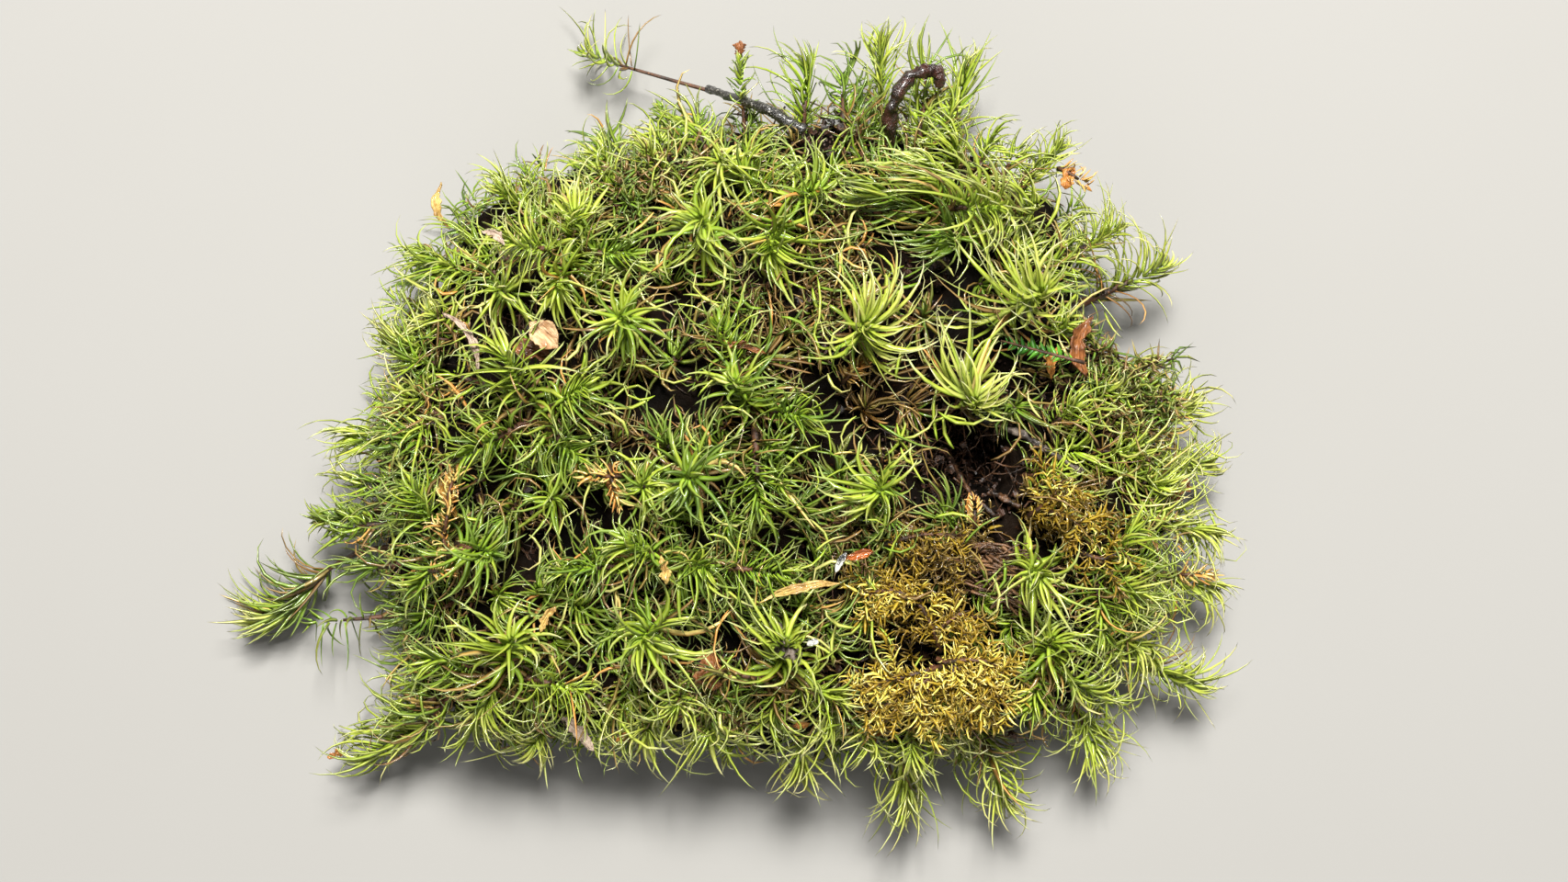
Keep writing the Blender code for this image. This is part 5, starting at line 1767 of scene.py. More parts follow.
    def lay(
        self, bunch: Bunch, rng: np.random.Generator, angle: np.ndarray, share: np.ndarray, way: np.ndarray,
        thin: bool = False,
    ) -> None:
        """Lays single leaves down.

        Args:
            bunch: where they are gathered.
            rng: the source of their small differences.
            angle: how far round the clump each lies, in radians.
            share: how far out, as a share of the rim's radius.
            way: the way that each sets out, in radians.
            thin: whether they are thin pale ones that hang.
        """
        count = len(angle)
        out = share * np.array([rim_radius(a) for a in angle])
        start = unit(np.stack([np.cos(way), np.sin(way), rng.uniform(0.0, 0.5, count)], axis=1))
        hand = rng.choice((-1, 1), count)
        pull = np.stack([-np.sin(way) * hand, np.cos(way) * hand, rng.uniform(-0.9, -0.1, count)], axis=1)
        height = canopy(np.minimum(share, 1.1)) + rng.uniform(-2.5, 0.5, count) - 3.0 * thin
        base = np.stack([out * np.cos(angle), out * np.sin(angle), height], axis=1)
        length = rng.uniform(4.5, 9.0, count)
        paths = bunch.leaf_paths(base, start, pull, np.radians(rng.uniform(40, 200, count)), length)
        kinds = np.array((0.05, 0.14, 0.45, 0.70, 0.88, 0.92, 0.97))
        tint = rng.choice(kinds, count, p=(0.10, 0.12, 0.14, 0.20, 0.24, 0.14, 0.06)) + rng.normal(0, 0.012, count)
        if thin:
            tint = rng.uniform(0.66, 0.89, count)
        upper = np.tile((0.0, 0.0, 1.0), (count, 1))
        width = rng.uniform(0.22, 0.38, count) if thin else rng.uniform(0.28, 0.54, count)
        bunch.leaves.add(paths, upper, width, tint, rng.normal(0, 1.0, count))

    def taken(self, x: float, y: float) -> bool:
        """Whether a spot is in a hollow, in a pit or in the golden moss."""
        golden = any(inside(x, y, (g.x, g.y, g.half_length - 0.8, g.half_width - 0.4)) for g in GOLDEN)
        return golden or in_hollow(x, y) or in_pit(x, y, 1.6)

    def build_side(self, rng: np.random.Generator) -> None:
        """Small older shoots that hang down the side of the bed, with dead leaves among them.

        Args:
            rng: the source of its small differences.
        """
        bunch = self.shop.plain_bunch()
        for k in range(self.side_shoots):
            angle = TURN * (k + rng.uniform(-0.3, 0.3)) / self.side_shoots
            out = Vector((*ray(angle), 0))
            low = rng.uniform(2.5, 12.5)
            root = out * (rim_radius(angle) * (0.93 + 0.04 * math.sin(low / 4)) - 1.0)
            root.z = low
            sparse_right = root.x > 30 and root.y > -12 and k % 3
            sparse_front = root.y < -28 and abs(root.x + 4) < 26 and k % 2
            if in_hollow(root.x, root.y, 1.0) or sparse_right or sparse_front:
                continue
            bud = root + out * rng.uniform(2.5, 5.0) + Vector((rng.normal(0, 1.5), rng.normal(0, 1.5), 0))
            bud.z = max(2.0, low + rng.uniform(-3.0, 2.0))
            alive = rng.uniform() < 0.70
            # The tone adds partly painted light
            tint = rng.uniform(0.32, 0.72) + 0.6 * tone_and_painted_light(root.x, root.y) if alive else rng.uniform(0.02, 0.2)
            habit = OLD if tint < 0.25 else STAR
            shoot = Shoot(bud.x, bud.y, bud.z, reach=rng.uniform(4.0, 6.5), droop=0.8, tint=tint, habit=habit)
            stalk = bowed_stalk(root, bud, 0.6, 1.0)
            bunch.grow(shoot, stalk, rng, self.side_leafiness)
            bunch.stem(stalk, self.stem)
        self.shop.finish("hanging_side_shoots", bunch, [], "deep_moss")


@dataclass(frozen=True)
class GoldenPatch:
    """A patch of golden moss: its middle, size, height and turn, its short branches and its fronds as seen."""

    name: str
    x: float
    y: float
    half_length: float
    half_width: float
    height: float
    turn: float
    branches: int
    tint: float
    fronds: tuple[tuple[Point, ...], ...]
    has_solid: bool = True


GOLDEN = (
    GoldenPatch(
        "golden_moss_upper", 19.4, -18.8, 6.4, 4.0, 4.6, -12, 22, 0.60,
        (
            ((23.2, -27.5, 24), (21.8, -23.6, 26), (19.4, -20.0, 26.5), (15.2, -18.4, 25)),
            ((22.4, -25.6, 25), (25.4, -22.6, 26), (30.0, -23.8, 24)),
            ((20.8, -20.8, 26.5), (16.4, -19.4, 26), (12.6, -20.4, 24.5)),
        ),
    ),
    GoldenPatch(
        "golden_moss_lower", 22.4, -29.6, 9.6, 5.0, 5.2, 4, 32, 0.74,
        (
            ((23.4, -29.4, 25.5), (18.4, -30.8, 26.5), (12.4, -32.4, 24)),
            ((22.6, -28.4, 25), (27.4, -30.6, 25.5), (32.4, -34.8, 22)),
            ((22.2, -29.2, 25.5), (21.6, -33.4, 24), (19.6, -37.6, 20)),
            ((24.6, -29.6, 25.5), (27.0, -33.8, 23.5), (27.2, -37.4, 20)),
            ((21.6, -31.0, 26), (17.2, -34.0, 25), (12.8, -35.6, 22.5)),
            ((24.0, -28.8, 26), (28.6, -28.6, 26), (32.6, -30.4, 24)),
        ),
    ),
    GoldenPatch(
        "golden_moss_right", 36.2, -8.0, 4.4, 3.6, 4.4, 20, 22, 0.48,
        (
            ((34.6, -9.8, 23), (37.4, -7.8, 25), (39.4, -4.8, 24)),
            ((36.6, -9.0, 24), (40.0, -10.0, 24.5), (42.6, -12.6, 23)),
            ((41.6, -14.6, 22), (44.2, -15.4, 23), (47.2, -14.2, 22.5)),
        ),
    ),
    GoldenPatch(
        "golden_moss_band", 21.8, -12.8, 6.8, 2.8, 3.6, 3, 34, 0.22,
        (
            ((16.0, -13.6, 25), (20.6, -12.2, 27), (26.4, -12.4, 26)),
            ((18.4, -15.6, 25), (22.6, -15.2, 26.5), (27.6, -16.0, 25)),
        ),
        has_solid=False,
    ),
)


@dataclass
class GoldenMoss:
    """Golden moss of a smaller kind, whose stubby branches are clothed all round in tiny leaves."""

    shop: Workshop
    leaflet_gap: float = 0.22
    leaflet: float = 2.2
    branch_gap: float = 1.45

    def build(self) -> None:
        """Builds each patch, over its solid where it has one."""
        for number, patch in enumerate(GOLDEN):
            rng = np.random.default_rng(70 + number)
            bunch = self.shop.bunch(self.shop.golden_leaflet, self.shop.thin_rod)
            for k in range(patch.branches):
                self.branch(bunch, patch, k, rng)
            for frond in patch.fronds:
                self.frond(bunch, patch, frond, rng)
            nodes = [patch.name] if patch.has_solid else []
            self.shop.finish(f"{patch.name}_feathered", bunch, nodes, "golden_moss", self.shop.golden_leaf)

    def branch(self, bunch: Bunch, patch: GoldenPatch, number: int, rng: np.random.Generator) -> None:
        """Grows one short branch of a patch out of its cushion, unless it would stand in a hollow.

        Args:
            bunch: where its leaves are gathered.
            patch: the patch.
            number: which branch of the patch it is.
            rng: the source of its small differences.
        """
        away = math.sqrt((number + 0.5) / patch.branches)
        turn = number * GOLDEN_ANGLE
        angle = math.radians(patch.turn)
        u = away * patch.half_length * math.cos(turn)
        v = away * patch.half_width * math.sin(turn)
        x = patch.x + u * math.cos(angle) - v * math.sin(angle)
        y = patch.y + u * math.sin(angle) + v * math.cos(angle)
        if in_hollow(x, y):
            return
        foot = Vector((x, y, bed_height(x, y) + patch.height * (1 - away**2) * rng.uniform(0.1, 0.7)))
        out = Vector((x - patch.x, y - patch.y, 0)) * 0.3 + Vector((rng.normal(0, 1.2), rng.normal(0, 1.2), 0))
        out = out.normalized() * rng.uniform(1.6, 3.4)
        tip = foot + out + Vector((0, 0, rng.uniform(-0.4, 1.6)))
        stalk = bent_stalk(foot - up(1), foot.lerp(tip, 0.3) + up(1.4), tip)
        self.clothe(bunch, stalk, 0.55 * patch.tint + rng.normal(0, 0.12), rng)

    def frond(self, bunch: Bunch, patch: GoldenPatch, route: Sequence[Point], rng: np.random.Generator) -> None:
        """Grows a frond: a main stem with short branches to both sides, shorter towards its tip.

        Args:
            bunch: where its leaves are gathered.
            patch: the patch.
            route: points of its main stem as seen from above.
            rng: the source of its small differences.
        """
        places = curve_through([from_above(*point) for point in route], 30)
        places[:, 2] = np.maximum(places[:, 2], [bed_height(x, y) + 1.5 for x, y, _ in places])
        stalk = Stalk(places)
        bunch.stem(stalk, 0.7, 0.3)
        self.clothe(bunch, stalk, patch.tint - 0.05, rng)
        count = int(stalk.length / self.branch_gap)
        for k in range(count):
            share = (k + 0.5) / count
            base, way = stalk.at(np.array([stalk.length * (1 - share)]))
            side = unit(np.cross(way[0], (0.0, 0.0, 1.0)))
            for hand in (-1, 1):
                length = (1.2 + 3.6 * math.sin(math.pi * (0.16 + 0.74 * share))) * rng.uniform(0.35, 1.25)
                out = unit(side * hand + way[0] * rng.uniform(-0.2, 1.1) + np.array((0, 0, rng.uniform(-0.35, 0.5))))
                foot = Vector(base[0])
                tip = foot + Vector(out * length) + up(-0.12 * length)
                tip.z = max(tip.z, 1.0)
                if in_hollow(tip.x, tip.y):
                    continue
                branch = bowed_stalk(foot, tip, 0.5, 0.10 * length)
                self.clothe(bunch, branch, patch.tint + 0.18 * share + rng.normal(0, 0.16), rng)

    def clothe(self, bunch: Bunch, stalk: Stalk, tint: float, rng: np.random.Generator) -> None:
        """Covers a stem all round with leaflets that point forwards.

        Args:
            bunch: where the leaflets are gathered.
            stalk: the stem.
            tint: their shade.
            rng: the source of their small differences.
        """
        count = max(3, int(stalk.length / self.leaflet_gap))
        age = (np.arange(count) + 0.5) / count
        base, axis = stalk.at(age * stalk.length - 0.2)
        side = unit(np.cross(axis, np.array((0.13, 0.21, 1.0))))
        over = np.cross(side, axis)
        turn = np.arange(count) * GOLDEN_ANGLE + rng.normal(0, 0.3, count)
        radial = np.cos(turn)[:, None] * side + np.sin(turn)[:, None] * over
        start = unit(axis + radial * rng.uniform(0.4, 1.7, (count, 1)))
        length = self.leaflet * (0.7 + 0.3 * np.minimum(1, age / 0.2)) * rng.uniform(0.5, 1.25, count)
        pull = radial - axis * 0.3 + rng.normal(0, 0.4, (count, 3))
        paths = bunch.leaf_paths(base, start, pull, rng.normal(1.1, 0.7, count), length)
        shade = np.clip(tint + 0.60 * (age - 0.50) + rng.normal(0, 0.15, count), 0.02, 0.98)
        width = length * rng.uniform(0.15, 0.26, count)
        bunch.leaves.add(paths, axis - radial * 0.6, width, shade, rng.normal(0, 0.5, count))


@dataclass(frozen=True)
class Twig:
    """A twig, straw or bare stem: the points that it passes through as seen from above, and its width."""

    name: str
    route: tuple[Point, ...]
    width: float
    bark: Wood
    nodes: tuple[str, ...] = ()
    relief: float = 0.28  # of its width


TWIGS = (
    Twig(
        "glossy_dark_twig",
        (
            (15.8, 35.0, 12), (16.6, 40.4, 16.4), (16.8, 43.8, 18), (18.2, 46.4, 18.6), (20.8, 48.2, 18.6),
            (22.8, 48.2, 18.0), (23.1, 46.2, 17.0),
        ),
        1.9, Wood.DARK, ("dark_twig",),
    ),
    Twig("scaly_grey_twig", ((28.0, 3.0, 16), (33.0, 1.2, 19), (37.0, -1.2, 20), (41.5, -3.8, 19)), 1.0, Wood.GREY),
    Twig("pale_pit_stem", ((24.0, -1.5, 12), (25.5, -4.2, 17), (27.4, -7.2, 20), (30.4, -9.8, 21)), 0.7, Wood.ROOT),
    Twig("woody_knob", ((2.0, -24.6, 24), (2.6, -27.0, 27.5), (4.6, -28.4, 28.5)), 2.2, Wood.GREY),
    Twig(
        "beaded_stem_end", ((5.4, 40.4, 17.5), (2.0, 42.4, 17.5), (-1.2, 43.9, 15.5), (-7.0, 45.9, 7.0)),
        1.6, Wood.BEADED, relief=0.12,
    ),
    Twig("short_pit_stick", ((29.6, -6.6, 18), (31.2, -7.4, 19), (33.4, -8.6, 19.6)), 1.0, Wood.ROOT),
)


@dataclass
class Twigs:
    """Bits of wood and bare stem that lie in the moss."""

    shop: Workshop

    def build(self) -> None:
        """Builds each twig."""
        for twig in TWIGS:
            rod = Strands(self.shop.twig)
            rod.trace([from_above(*point) for point in twig.route], twig.width)
            piece = joined_piece(twig.name, [(rod, self.shop.wood[twig.bark])])
            self.roughen(piece, twig)
            place_piece(piece, twig.nodes, "bark")

    def roughen(self, piece: bpy.types.Object, twig: Twig) -> None:
        """Gives a twig knots and flaking scales.

        Args:
            piece: the twig's mesh.
            twig: its sizes.
        """
        depth = twig.relief * twig.width
        for vertex, normal in zip(piece.data.vertices, [item.vector.copy() for item in piece.data.vertex_normals]):
            at = vertex.co / MM
            knots = noise.noise(at * 0.75) * 1.4
            scales = noise.noise(at * 2.6)
            vertex.co += normal * ((knots + scales) * depth * MM)


@dataclass(frozen=True)
class DeadLeaf:
    """A dead leaf or scale: where it is seen, its size in millimetres, turn, curl and finish."""

    name: str
    x: float
    y: float
    z: float
    length: float
    width: float
    turn: float
    curl: float
    bend: float
    finish: DeadLeafFinish
    nodes: tuple[str, ...] = ()
    slot: str = "rust_leaf"
    pointed: float = 0.75  # from square at both ends to drawn out to points
    torn: float = 0.9


DEAD_LEAVES = (
    DeadLeaf(
        "tan_scale_curved", -28.5, 13.9, 28.0, 4.4, 3.2, -42, 0.7, 0.2, TAN_SCALE, ("tan_leaf_scale",),
        "tan_leaf", 0.8, 0.2,
    ),
    DeadLeaf("tan_scale_underside", -30.2, 11.9, 25.6, 4.4, 2.4, -10, 0.5, 0.2, RUST_LEAF, (), "tan_leaf", 0.7, 0.4),
    DeadLeaf("rust_leaf_curled", 41.6, 12.4, 21.6, 7.6, 2.0, 84, 1.1, 0.9, RUST_LEAF, ("curled_dead_leaf",)),
    DeadLeaf("orange_leaf_left", -40.9, -7.0, 24.6, 5.6, 1.3, 96, 0.6, 0.5, AMBER_LEAF, torn=1.6),
    DeadLeaf("orange_leaf_small", 12.0, 9.6, 24.0, 3.4, 1.2, 40, 0.4, 0.4, ORANGE_LEAF),
    DeadLeaf("orange_leaf_top", 39.8, 34.4, 15.5, 2.8, 1.3, 70, 0.5, 0.6, ORANGE_LEAF, pointed=0.3),
    DeadLeaf("orange_leaf_right", 37.8, 10.2, 20.5, 3.6, 1.2, 80, 0.6, 0.4, ORANGE_LEAF),
    DeadLeaf("rust_bit_right", 54.0, -6.2, 12.0, 3.6, 2.2, 60, 0.8, 0.3, RUST_LEAF, pointed=0.3),
    DeadLeaf("grey_curl_left", -38.6, 13.6, 27.5, 7.6, 0.7, -58, 0.8, 0.9, GREY_LEAF, slot="tan_leaf"),
    DeadLeaf("grey_curl_top", -35.0, 26.8, 29.0, 3.0, 0.9, -30, 0.6, 0.8, GREY_LEAF, slot="tan_leaf"),
    DeadLeaf("straw_curl_top", -42.2, 30.6, 15.0, 5.6, 0.9, 100, 0.7, 0.8, STRAW_LEAF, slot="tan_leaf"),
    DeadLeaf("straw_middle", 4.6, -19.4, 30.0, 9.4, 0.8, 14, 0.6, 0.3, STRAW_LEAF, slot="tan_leaf"),
    DeadLeaf("ochre_sheath", -12.8, -16.8, 31.0, 3.2, 1.1, -80, 0.8, 0.4, STRAW_LEAF, slot="tan_leaf"),
    # A painted glint: a pale strip where the orange bud's wet side shines
    DeadLeaf("painted_glint_by_bud", 10.1, -15.8, 29.0, 2.6, 0.7, 62, 0.9, 0.3, WHITE_FLAKE_AND_GLINT, slot="tan_leaf", torn=0.3),
    DeadLeaf("orange_bud", 12.6, -14.8, 29.0, 3.2, 1.0, 14, 0.9, 0.2, EMBER_BUD, torn=0.5),
    DeadLeaf("orange_sprig", 27.0, -9.0, 25.0, 4.0, 0.6, 96, 0.5, 0.3, ORANGE_LEAF, torn=0.6),
    DeadLeaf("white_bit", 6.5, -26.3, 29.5, 1.3, 0.7, 20, 0.4, 0.2, WHITE_FLAKE_AND_GLINT, (), "tan_leaf", 0.3, 0.2),
    DeadLeaf("beige_leaf_bit", -24.0, -38.0, 17.5, 5.6, 1.5, -45, 0.6, 0.4, GREY_LEAF, slot="tan_leaf"),
    DeadLeaf("yellow_leaf_left", -28.2, -23.2, 28.0, 3.4, 0.9, 60, 0.8, 0.4, STRAW_LEAF, slot="tan_leaf"),
    DeadLeaf("yellow_leaf_low", -45.0, -34.0, 14.5, 4.0, 0.8, 150, 0.8, 0.4, STRAW_LEAF, slot="tan_leaf"),
    DeadLeaf("orange_shoot_bit", -19.6, -6.4, 28.5, 2.6, 1.0, -70, 0.6, 0.5, ORANGE_LEAF),
    DeadLeaf("rust_arc", -4.0, 12.3, 28.5, 8.2, 0.8, -4, 0.7, 0.4, RUST_LEAF),
    DeadLeaf("brown_lump", -7.0, -30.0, 22.0, 4.6, 2.4, 95, 0.8, 0.3, RUST_LEAF, pointed=0.3),
    DeadLeaf("orange_bit_low_a", -18.0, -38.4, 15.0, 2.4, 0.9, 30, 0.5, 0.3, ORANGE_LEAF),
    DeadLeaf("orange_bit_low_b", -12.5, -36.0, 18.0, 2.0, 0.9, 70, 0.5, 0.3, ORANGE_LEAF),
    DeadLeaf("orange_bit_low_c", 5.0, -37.0, 19.0, 2.0, 0.9, 10, 0.5, 0.3, ORANGE_LEAF),
    DeadLeaf("orange_bit_low_d", 14.7, -38.5, 18.0, 2.6, 1.0, 50, 0.5, 0.3, ORANGE_LEAF),
    DeadLeaf("orange_tip_low", -55.6, -41.0, 5.0, 2.4, 0.8, 10, 0.5, 0.2, ORANGE_LEAF),
    DeadLeaf("red_cup_tip", -3.0, 51.2, 15.4, 1.8, 1.2, 90, 0.9, 0.2, RUST_LEAF, pointed=0.3),
)


@dataclass
class DeadLeaves:
    """Dead leaves and scales that lie on the moss."""

    shop: Workshop
    thickness: float = 0.16

    def build(self) -> None:
        """Builds each from a grid."""
        for leaf in DEAD_LEAVES:
            self.build_one(leaf)

    def build_one(self, leaf: DeadLeaf) -> None:
        """Shapes one leaf: its torn outline, its cup across and its bend along.

        Args:
            leaf: its sizes.
        """
        leave_edit()
        bpy.ops.mesh.primitive_grid_add(x_subdivisions=36, y_subdivisions=14, size=1.0, location=(0, 0, 0))
        piece = bpy.context.object
        piece.name = leaf.name
        turn = math.radians(leaf.turn)
        centre = from_above(leaf.x, leaf.y, leaf.z)
        for vertex in piece.data.vertices:
            u, v = vertex.co.x, vertex.co.y
            tear = noise.fractal(Vector((u * 3.6, 2.0 * (v > 0), leaf.x)), 0.6, 2.2, 3)
            outline = max(0.05, 1 - abs(2 * u) ** (1.3 + 5 * (1 - leaf.pointed))) * (1 + leaf.torn * tear)
            x = u * leaf.length * (1 + 0.14 * noise.noise(Vector((v * 5, 4.0, leaf.y))))
            bow = leaf.bend * leaf.length * 0.22 * (0.3 - (2 * u) ** 2)
            y = v * leaf.width * outline + bow
            cup = leaf.curl * (abs(2 * v) ** 1.6) * leaf.width * 0.42 * outline
            arch = -leaf.bend * (2 * u) ** 2 * leaf.length * 0.10
            crumple = 0.30 * noise.fractal(Vector((x * 0.5, y * 1.4, leaf.x)), 0.8, 2.1, 3)
            ribs = 0.05 * math.sin(v * 24 + 2 * u)
            place = Vector((x * math.cos(turn) - y * math.sin(turn), x * math.sin(turn) + y * math.cos(turn), 0))
            place.z = cup + arch + crumple + ribs
            vertex.co = (centre + place) * MM
        piece.data.materials.append(leaf.finish.material(turn))
        solid = piece.modifiers.new("thickness", "SOLIDIFY")
        solid.thickness = self.thickness * MM
        solid.offset = 0
        bpy.ops.object.modifier_apply(modifier=solid.name)
        bpy.ops.object.shade_smooth()
        place_piece(piece, leaf.nodes, leaf.slot)


@dataclass
class FernSprig:
    """A small fern frond in the moss: a stalk with pairs of lobed leaflets."""

    shop: Workshop
    x: float = 42.0
    y: float = 10.2
    z: float = 24.5
    length: float = 10.5
    turn: float = 165.0
    pairs: int = 13

    def build(self) -> None:
        """Builds the frond over its solid."""
        bunch = self.shop.bunch(self.shop.broad_leaf)
        angle = math.radians(self.turn)
        along = np.array((math.cos(angle), math.sin(angle), -0.05))
        across = np.array((-math.sin(angle), math.cos(angle), 0.0))
        over = np.array((0.0, 0.0, 1.0))
        foot = np.array(from_above(self.x, self.y, self.z))
        rng = np.random.default_rng(5)
        stalk = Stalk(foot + along * np.linspace(0, self.length, 12)[:, None])
        bunch.stem(stalk, 0.5, 0.1)
        base, start, length = [], [], []
        for k in range(self.pairs):
            share = (k + 0.5) / self.pairs
            for hand in (-1, 1):
                base.append(foot + along * (self.length * (0.12 + 0.82 * share)))
                start.append(unit(along * rng.uniform(0.4, 1.1) + across * hand + over * rng.uniform(-0.3, 0.5)))
                length.append(1.9 * math.sin(math.pi * (0.16 + 0.74 * share)) * rng.uniform(0.5, 1.2))
        count = len(base)
        bend = np.tile(-0.3 * over, (count, 1)) + rng.normal(0, 0.2, (count, 3))
        length = np.array(length)
        paths = bunch.leaf_paths(np.array(base), np.array(start), bend, np.full(count, 0.3), length)
        tint = np.clip(np.linspace(0.95, 0.05, count) + rng.normal(0, 0.12, count), 0.02, 0.98)
        bunch.leaves.add(paths, np.tile(over, (count, 1)), length * 0.34, tint, rng.normal(0, 0.5, count))
        self.shop.finish("fern_sprig_frond", bunch, ["fern_sprig"], "deep_moss", self.shop.fern_leaf)


# Where the soil shows between the shoots: from x to x and from y to y
BARE_GROUND = ((10, 36, -38, -10), (-3, 14, 8, 42), (-3, 12, -32, -20), (15, 38, -9, 10))


@dataclass
class Soil:
    """Loose crumbs of soil and fine rootlets on the bed."""

    shop: Workshop
    crumbs: int = 1200
    rootlets: int = 560
    mat_fibres: int = 150
    mat_start: tuple[float, float] = (20.0, -13.8)  # where the fibre mat begins
    mat_run: tuple[float, float] = (9.0, -3.0)  # and how far it goes on from there

    def build(self) -> None:
        """Builds the crumbs and the rootlets."""
        rng = np.random.default_rng(31)
        self.build_crumbs(rng)
        self.build_rootlets(rng)
        self.build_mat(rng)

    def spot(self, rng: np.random.Generator) -> Vector:
        """A place on the bed, more often on bare ground.

        Args:
            rng: the source of its small differences.

        Returns:
            The place, on the soil.
        """
        if rng.uniform() < 0.5:
            x0, x1, y0, y1 = BARE_GROUND[int(rng.integers(len(BARE_GROUND)))]
            x, y = rng.uniform(x0, x1), rng.uniform(y0, y1)
            return Vector((x, y, bed_height(x, y)))
        if rng.uniform() < 0.45:
            x, y, middle, wide, deep, tall = PITS[0] if rng.uniform() < 0.7 else PITS[int(rng.integers(1, 3))]
            away, turn = 0.95 * math.sqrt(rng.uniform()), rng.uniform(0, TURN)
            height = middle - tall * math.sqrt(1 - away**2)
            return Vector((x + wide * away * math.cos(turn), y + deep * away * math.sin(turn), height))
        turn = rng.uniform(0, TURN)
        out = 0.98 * rim_radius(turn) * math.sqrt(rng.uniform())
        x, y = ray(turn, out)
        return Vector((x, y, bed_height(x, y)))

    def mound_spots(self, rng: np.random.Generator) -> list[Vector]:
        """Places for the crumbs of the mounds, from the soil up.

        Args:
            rng: the source of its small differences.

        Returns:
            The places.
        """
        found = []
        for x, y, radius, height, count in MOUNDS:
            for _ in range(count):
                away, angle = math.sqrt(rng.uniform()), rng.uniform(0, TURN)
                here = from_above(x + radius * away * math.cos(angle), y + radius * away * math.sin(angle), 20.0)
                here.z = bed_height(here.x, here.y) + height * (1 - away**2) * rng.uniform(0.5, 1.0) - 0.2
                found.append(here)
        return found

    def build_crumbs(self, rng: np.random.Generator) -> None:
        """Scatters crumbs of four shapes.

        Args:
            rng: the source of its small differences.
        """
        kinds = [Strands(blank) for blank in self.shop.crumbs]
        spots = [self.spot(rng) for _ in range(self.crumbs)] + self.mound_spots(rng)
        for k, place in enumerate(spots):
            spot = np.array(place)
            size = 0.35 + rng.uniform() ** 3
            way = unit(rng.normal(0, 1, 3))
            kind = kinds[k % len(kinds)]
            start = spot - way * size * 0.5 + np.array((0, 0, 0.25 * size))
            path = start + way * size * kind.blank.levels[:, None]
            kind.add_one(path, size * rng.uniform(0.7, 1.1), square_to(way)[0])
        piece = joined_piece("soil_crumbs", [(kind, self.shop.wood[Wood.CRUMB]) for kind in kinds], smooth=False)
        place_piece(piece, [], "peat")

    def build_mat(self, rng: np.random.Generator) -> None:
        """Lays a mat of brown fibres beside the golden moss, all running much the same way.

        Args:
            rng: the source of its small differences.
        """
        rods = Strands(self.shop.fibre)
        for _ in range(self.mat_fibres):
            share = rng.uniform()
            x = self.mat_start[0] + self.mat_run[0] * share + rng.normal(0, 1.0)
            y = self.mat_start[1] + self.mat_run[1] * share + rng.normal(0, 1.6)
            z = bed_height(x, y) + rng.uniform(2.0, 6.0)
            length, slope = rng.uniform(4.0, 10.0), rng.normal(-0.22, 0.16)
            points = []
            for k in range(5):
                sway = rng.normal(0, 0.4, 2)
                points.append((x + length * k / 4, y + slope * length * k / 4 + sway[0], z + sway[1] - 0.35 * k))
            rods.trace(points, rng.uniform(0.22, 0.5))
        place_piece(joined_piece("brown_fibre_mat", [(rods, self.shop.wood[Wood.MAT])]), [], "bark")

    def build_rootlets(self, rng: np.random.Generator) -> None:
        """Lays fine rootlets over the bed and its side.

        Args:
            rng: the source of its small differences.
        """
        rods = Strands(self.shop.fibre)
        for _ in range(self.rootlets):
            spot = self.spot(rng)
            way = Vector((rng.normal(), rng.normal(), 0.5 * rng.normal())).normalized()
            length = rng.uniform(3, 9)
            points = []
            for k in range(5):
                here = spot + way * (length * (k / 4 - 0.5)) + Vector(rng.normal(0, 0.35, 3))
                here.z = max(here.z, 0.6)
                points.append(here + up(0.3))
            rods.trace(points, rng.uniform(0.12, 0.3))
        place_piece(joined_piece("fine_rootlets", [(rods, self.shop.wood[Wood.ROOT])]), [], "bark")


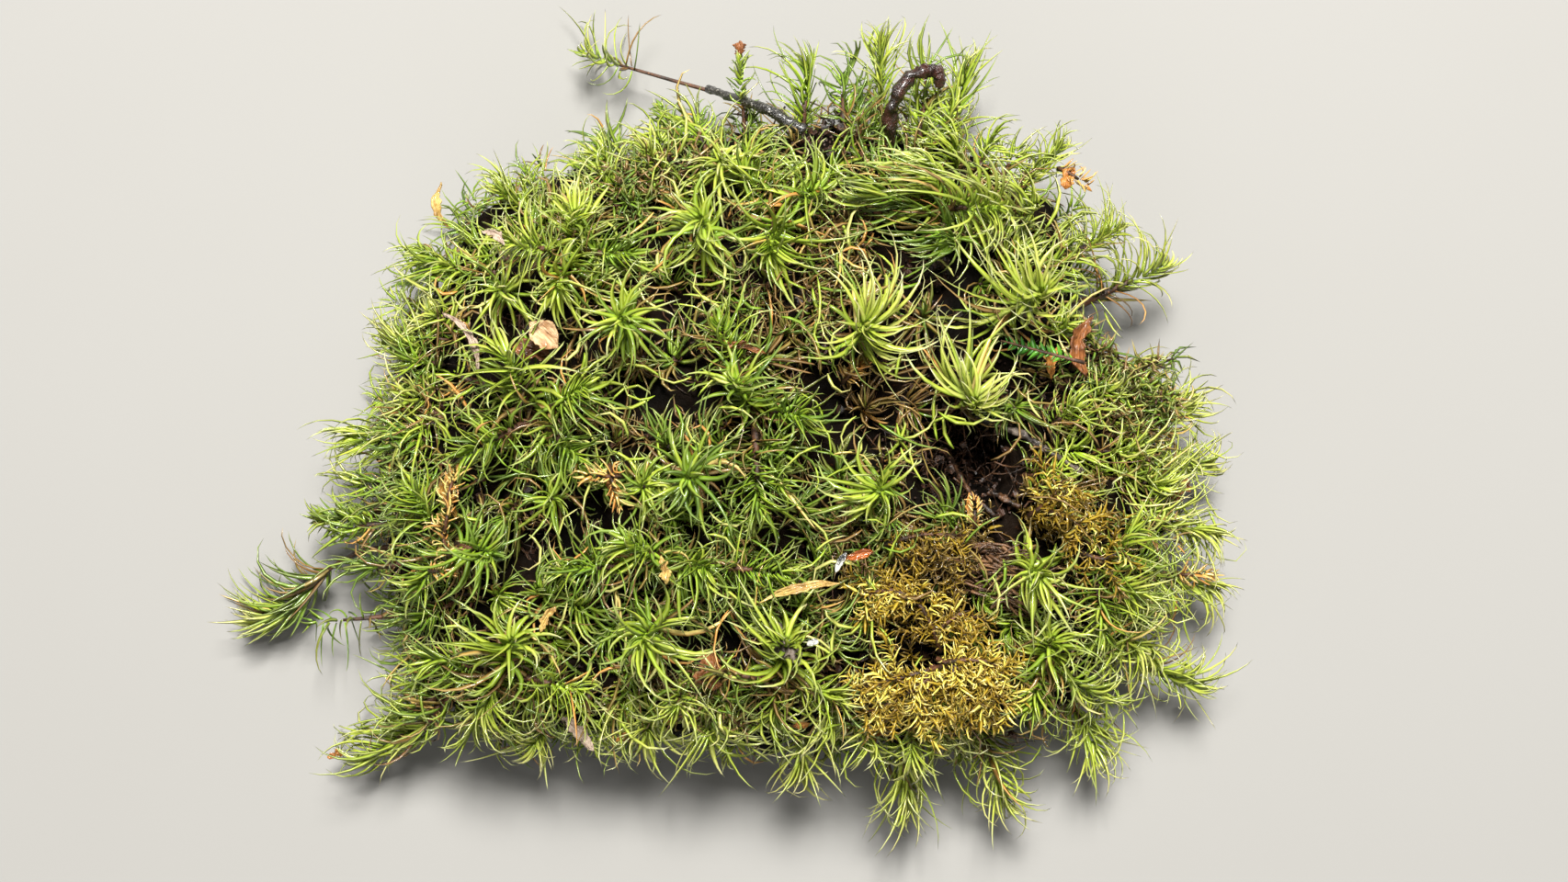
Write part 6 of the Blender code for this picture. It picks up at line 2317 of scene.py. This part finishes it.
@dataclass
class Studio:
    """A pale floor, soft light and the camera straight above."""

    floor_size: float = 3.0
    lens: float = 52.8
    floor_gap: float = 0.0002  # below the flat underside
    lamp_colour: Colour = (1.0, 0.99, 0.95)
    sky_colour: Colour = (0.88, 0.92, 1.0)
    sky_strength: float = 0.048

    def build(self) -> None:
        """Builds the floor, the lights and the camera."""
        leave_edit()
        bpy.ops.mesh.primitive_grid_add(x_subdivisions=8, y_subdivisions=8, size=self.floor_size)
        floor = bpy.context.object
        floor.name = "studio_floor"
        floor.location.z = -self.floor_gap
        floor.data.materials.append(FloorFinish().material())
        floor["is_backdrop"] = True
        self.light("key_light", (0.06, 0.68, 1.22), size=0.40, power=60.0)
        self.light("fill_light", (-0.3, -0.85, 0.75), size=1.0, power=4.2)
        world = bpy.data.worlds.new("soft_world")
        world.use_nodes = True
        sky = world.node_tree.nodes["Background"].inputs
        sky["Color"].default_value = (*self.sky_colour, 1.0)
        sky["Strength"].default_value = self.sky_strength
        bpy.context.scene.world = world
        bpy.context.scene.view_settings.view_transform = "Standard"
        self.camera()
        log.info("studio ready")

    def light(self, name: str, place: Point, size: float, power: float) -> None:
        """Adds one soft light aimed at the clump.

        Args:
            name: its name.
            place: where it stands, in metres.
            size: the side of its square, in metres.
            power: its power in watts.
        """
        lamp = bpy.data.lights.new(name, "AREA")
        lamp.size = size
        lamp.energy = power
        lamp.color = self.lamp_colour
        thing = bpy.data.objects.new(name, lamp)
        thing.location = place
        thing.rotation_euler = (up(0.015) - Vector(place)).to_track_quat("-Z", "Y").to_euler()
        bpy.context.scene.collection.objects.link(thing)

    def camera(self) -> None:
        """Adds the camera over the clump, looking straight down."""
        data = bpy.data.cameras.new("overhead_camera")
        data.lens = self.lens
        data.sensor_width = 36
        data.clip_start = 0.01
        camera = bpy.data.objects.new("overhead_camera", data)
        camera.location = (EYE_X * MM, 0, EYE_HEIGHT * MM)
        bpy.context.scene.collection.objects.link(camera)
        bpy.context.scene.camera = camera


def main() -> None:
    """Builds the clump piece by piece."""
    logging.basicConfig(level=logging.INFO, format="%(message)s")
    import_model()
    solid_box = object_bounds()
    shop = Workshop()
    PeatBed(shop).build()
    SingleShoots(shop).build()
    Tufts(shop).build()
    LowerShoots(shop).build()
    LowMoss(shop).build()
    GoldenMoss(shop).build()
    Twigs(shop).build()
    DeadLeaves(shop).build()
    FernSprig(shop).build()
    Soil(shop).build()
    Studio().build()
    bpy.context.view_layer.update()
    sizes = [[list(corner) for corner in box] for box in (solid_box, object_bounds())]
    log.info("sizes in millimetres: %s", [[round(v / MM, 1) for v in corner] for box in sizes for corner in box])


if __name__ == "__main__":
    main()
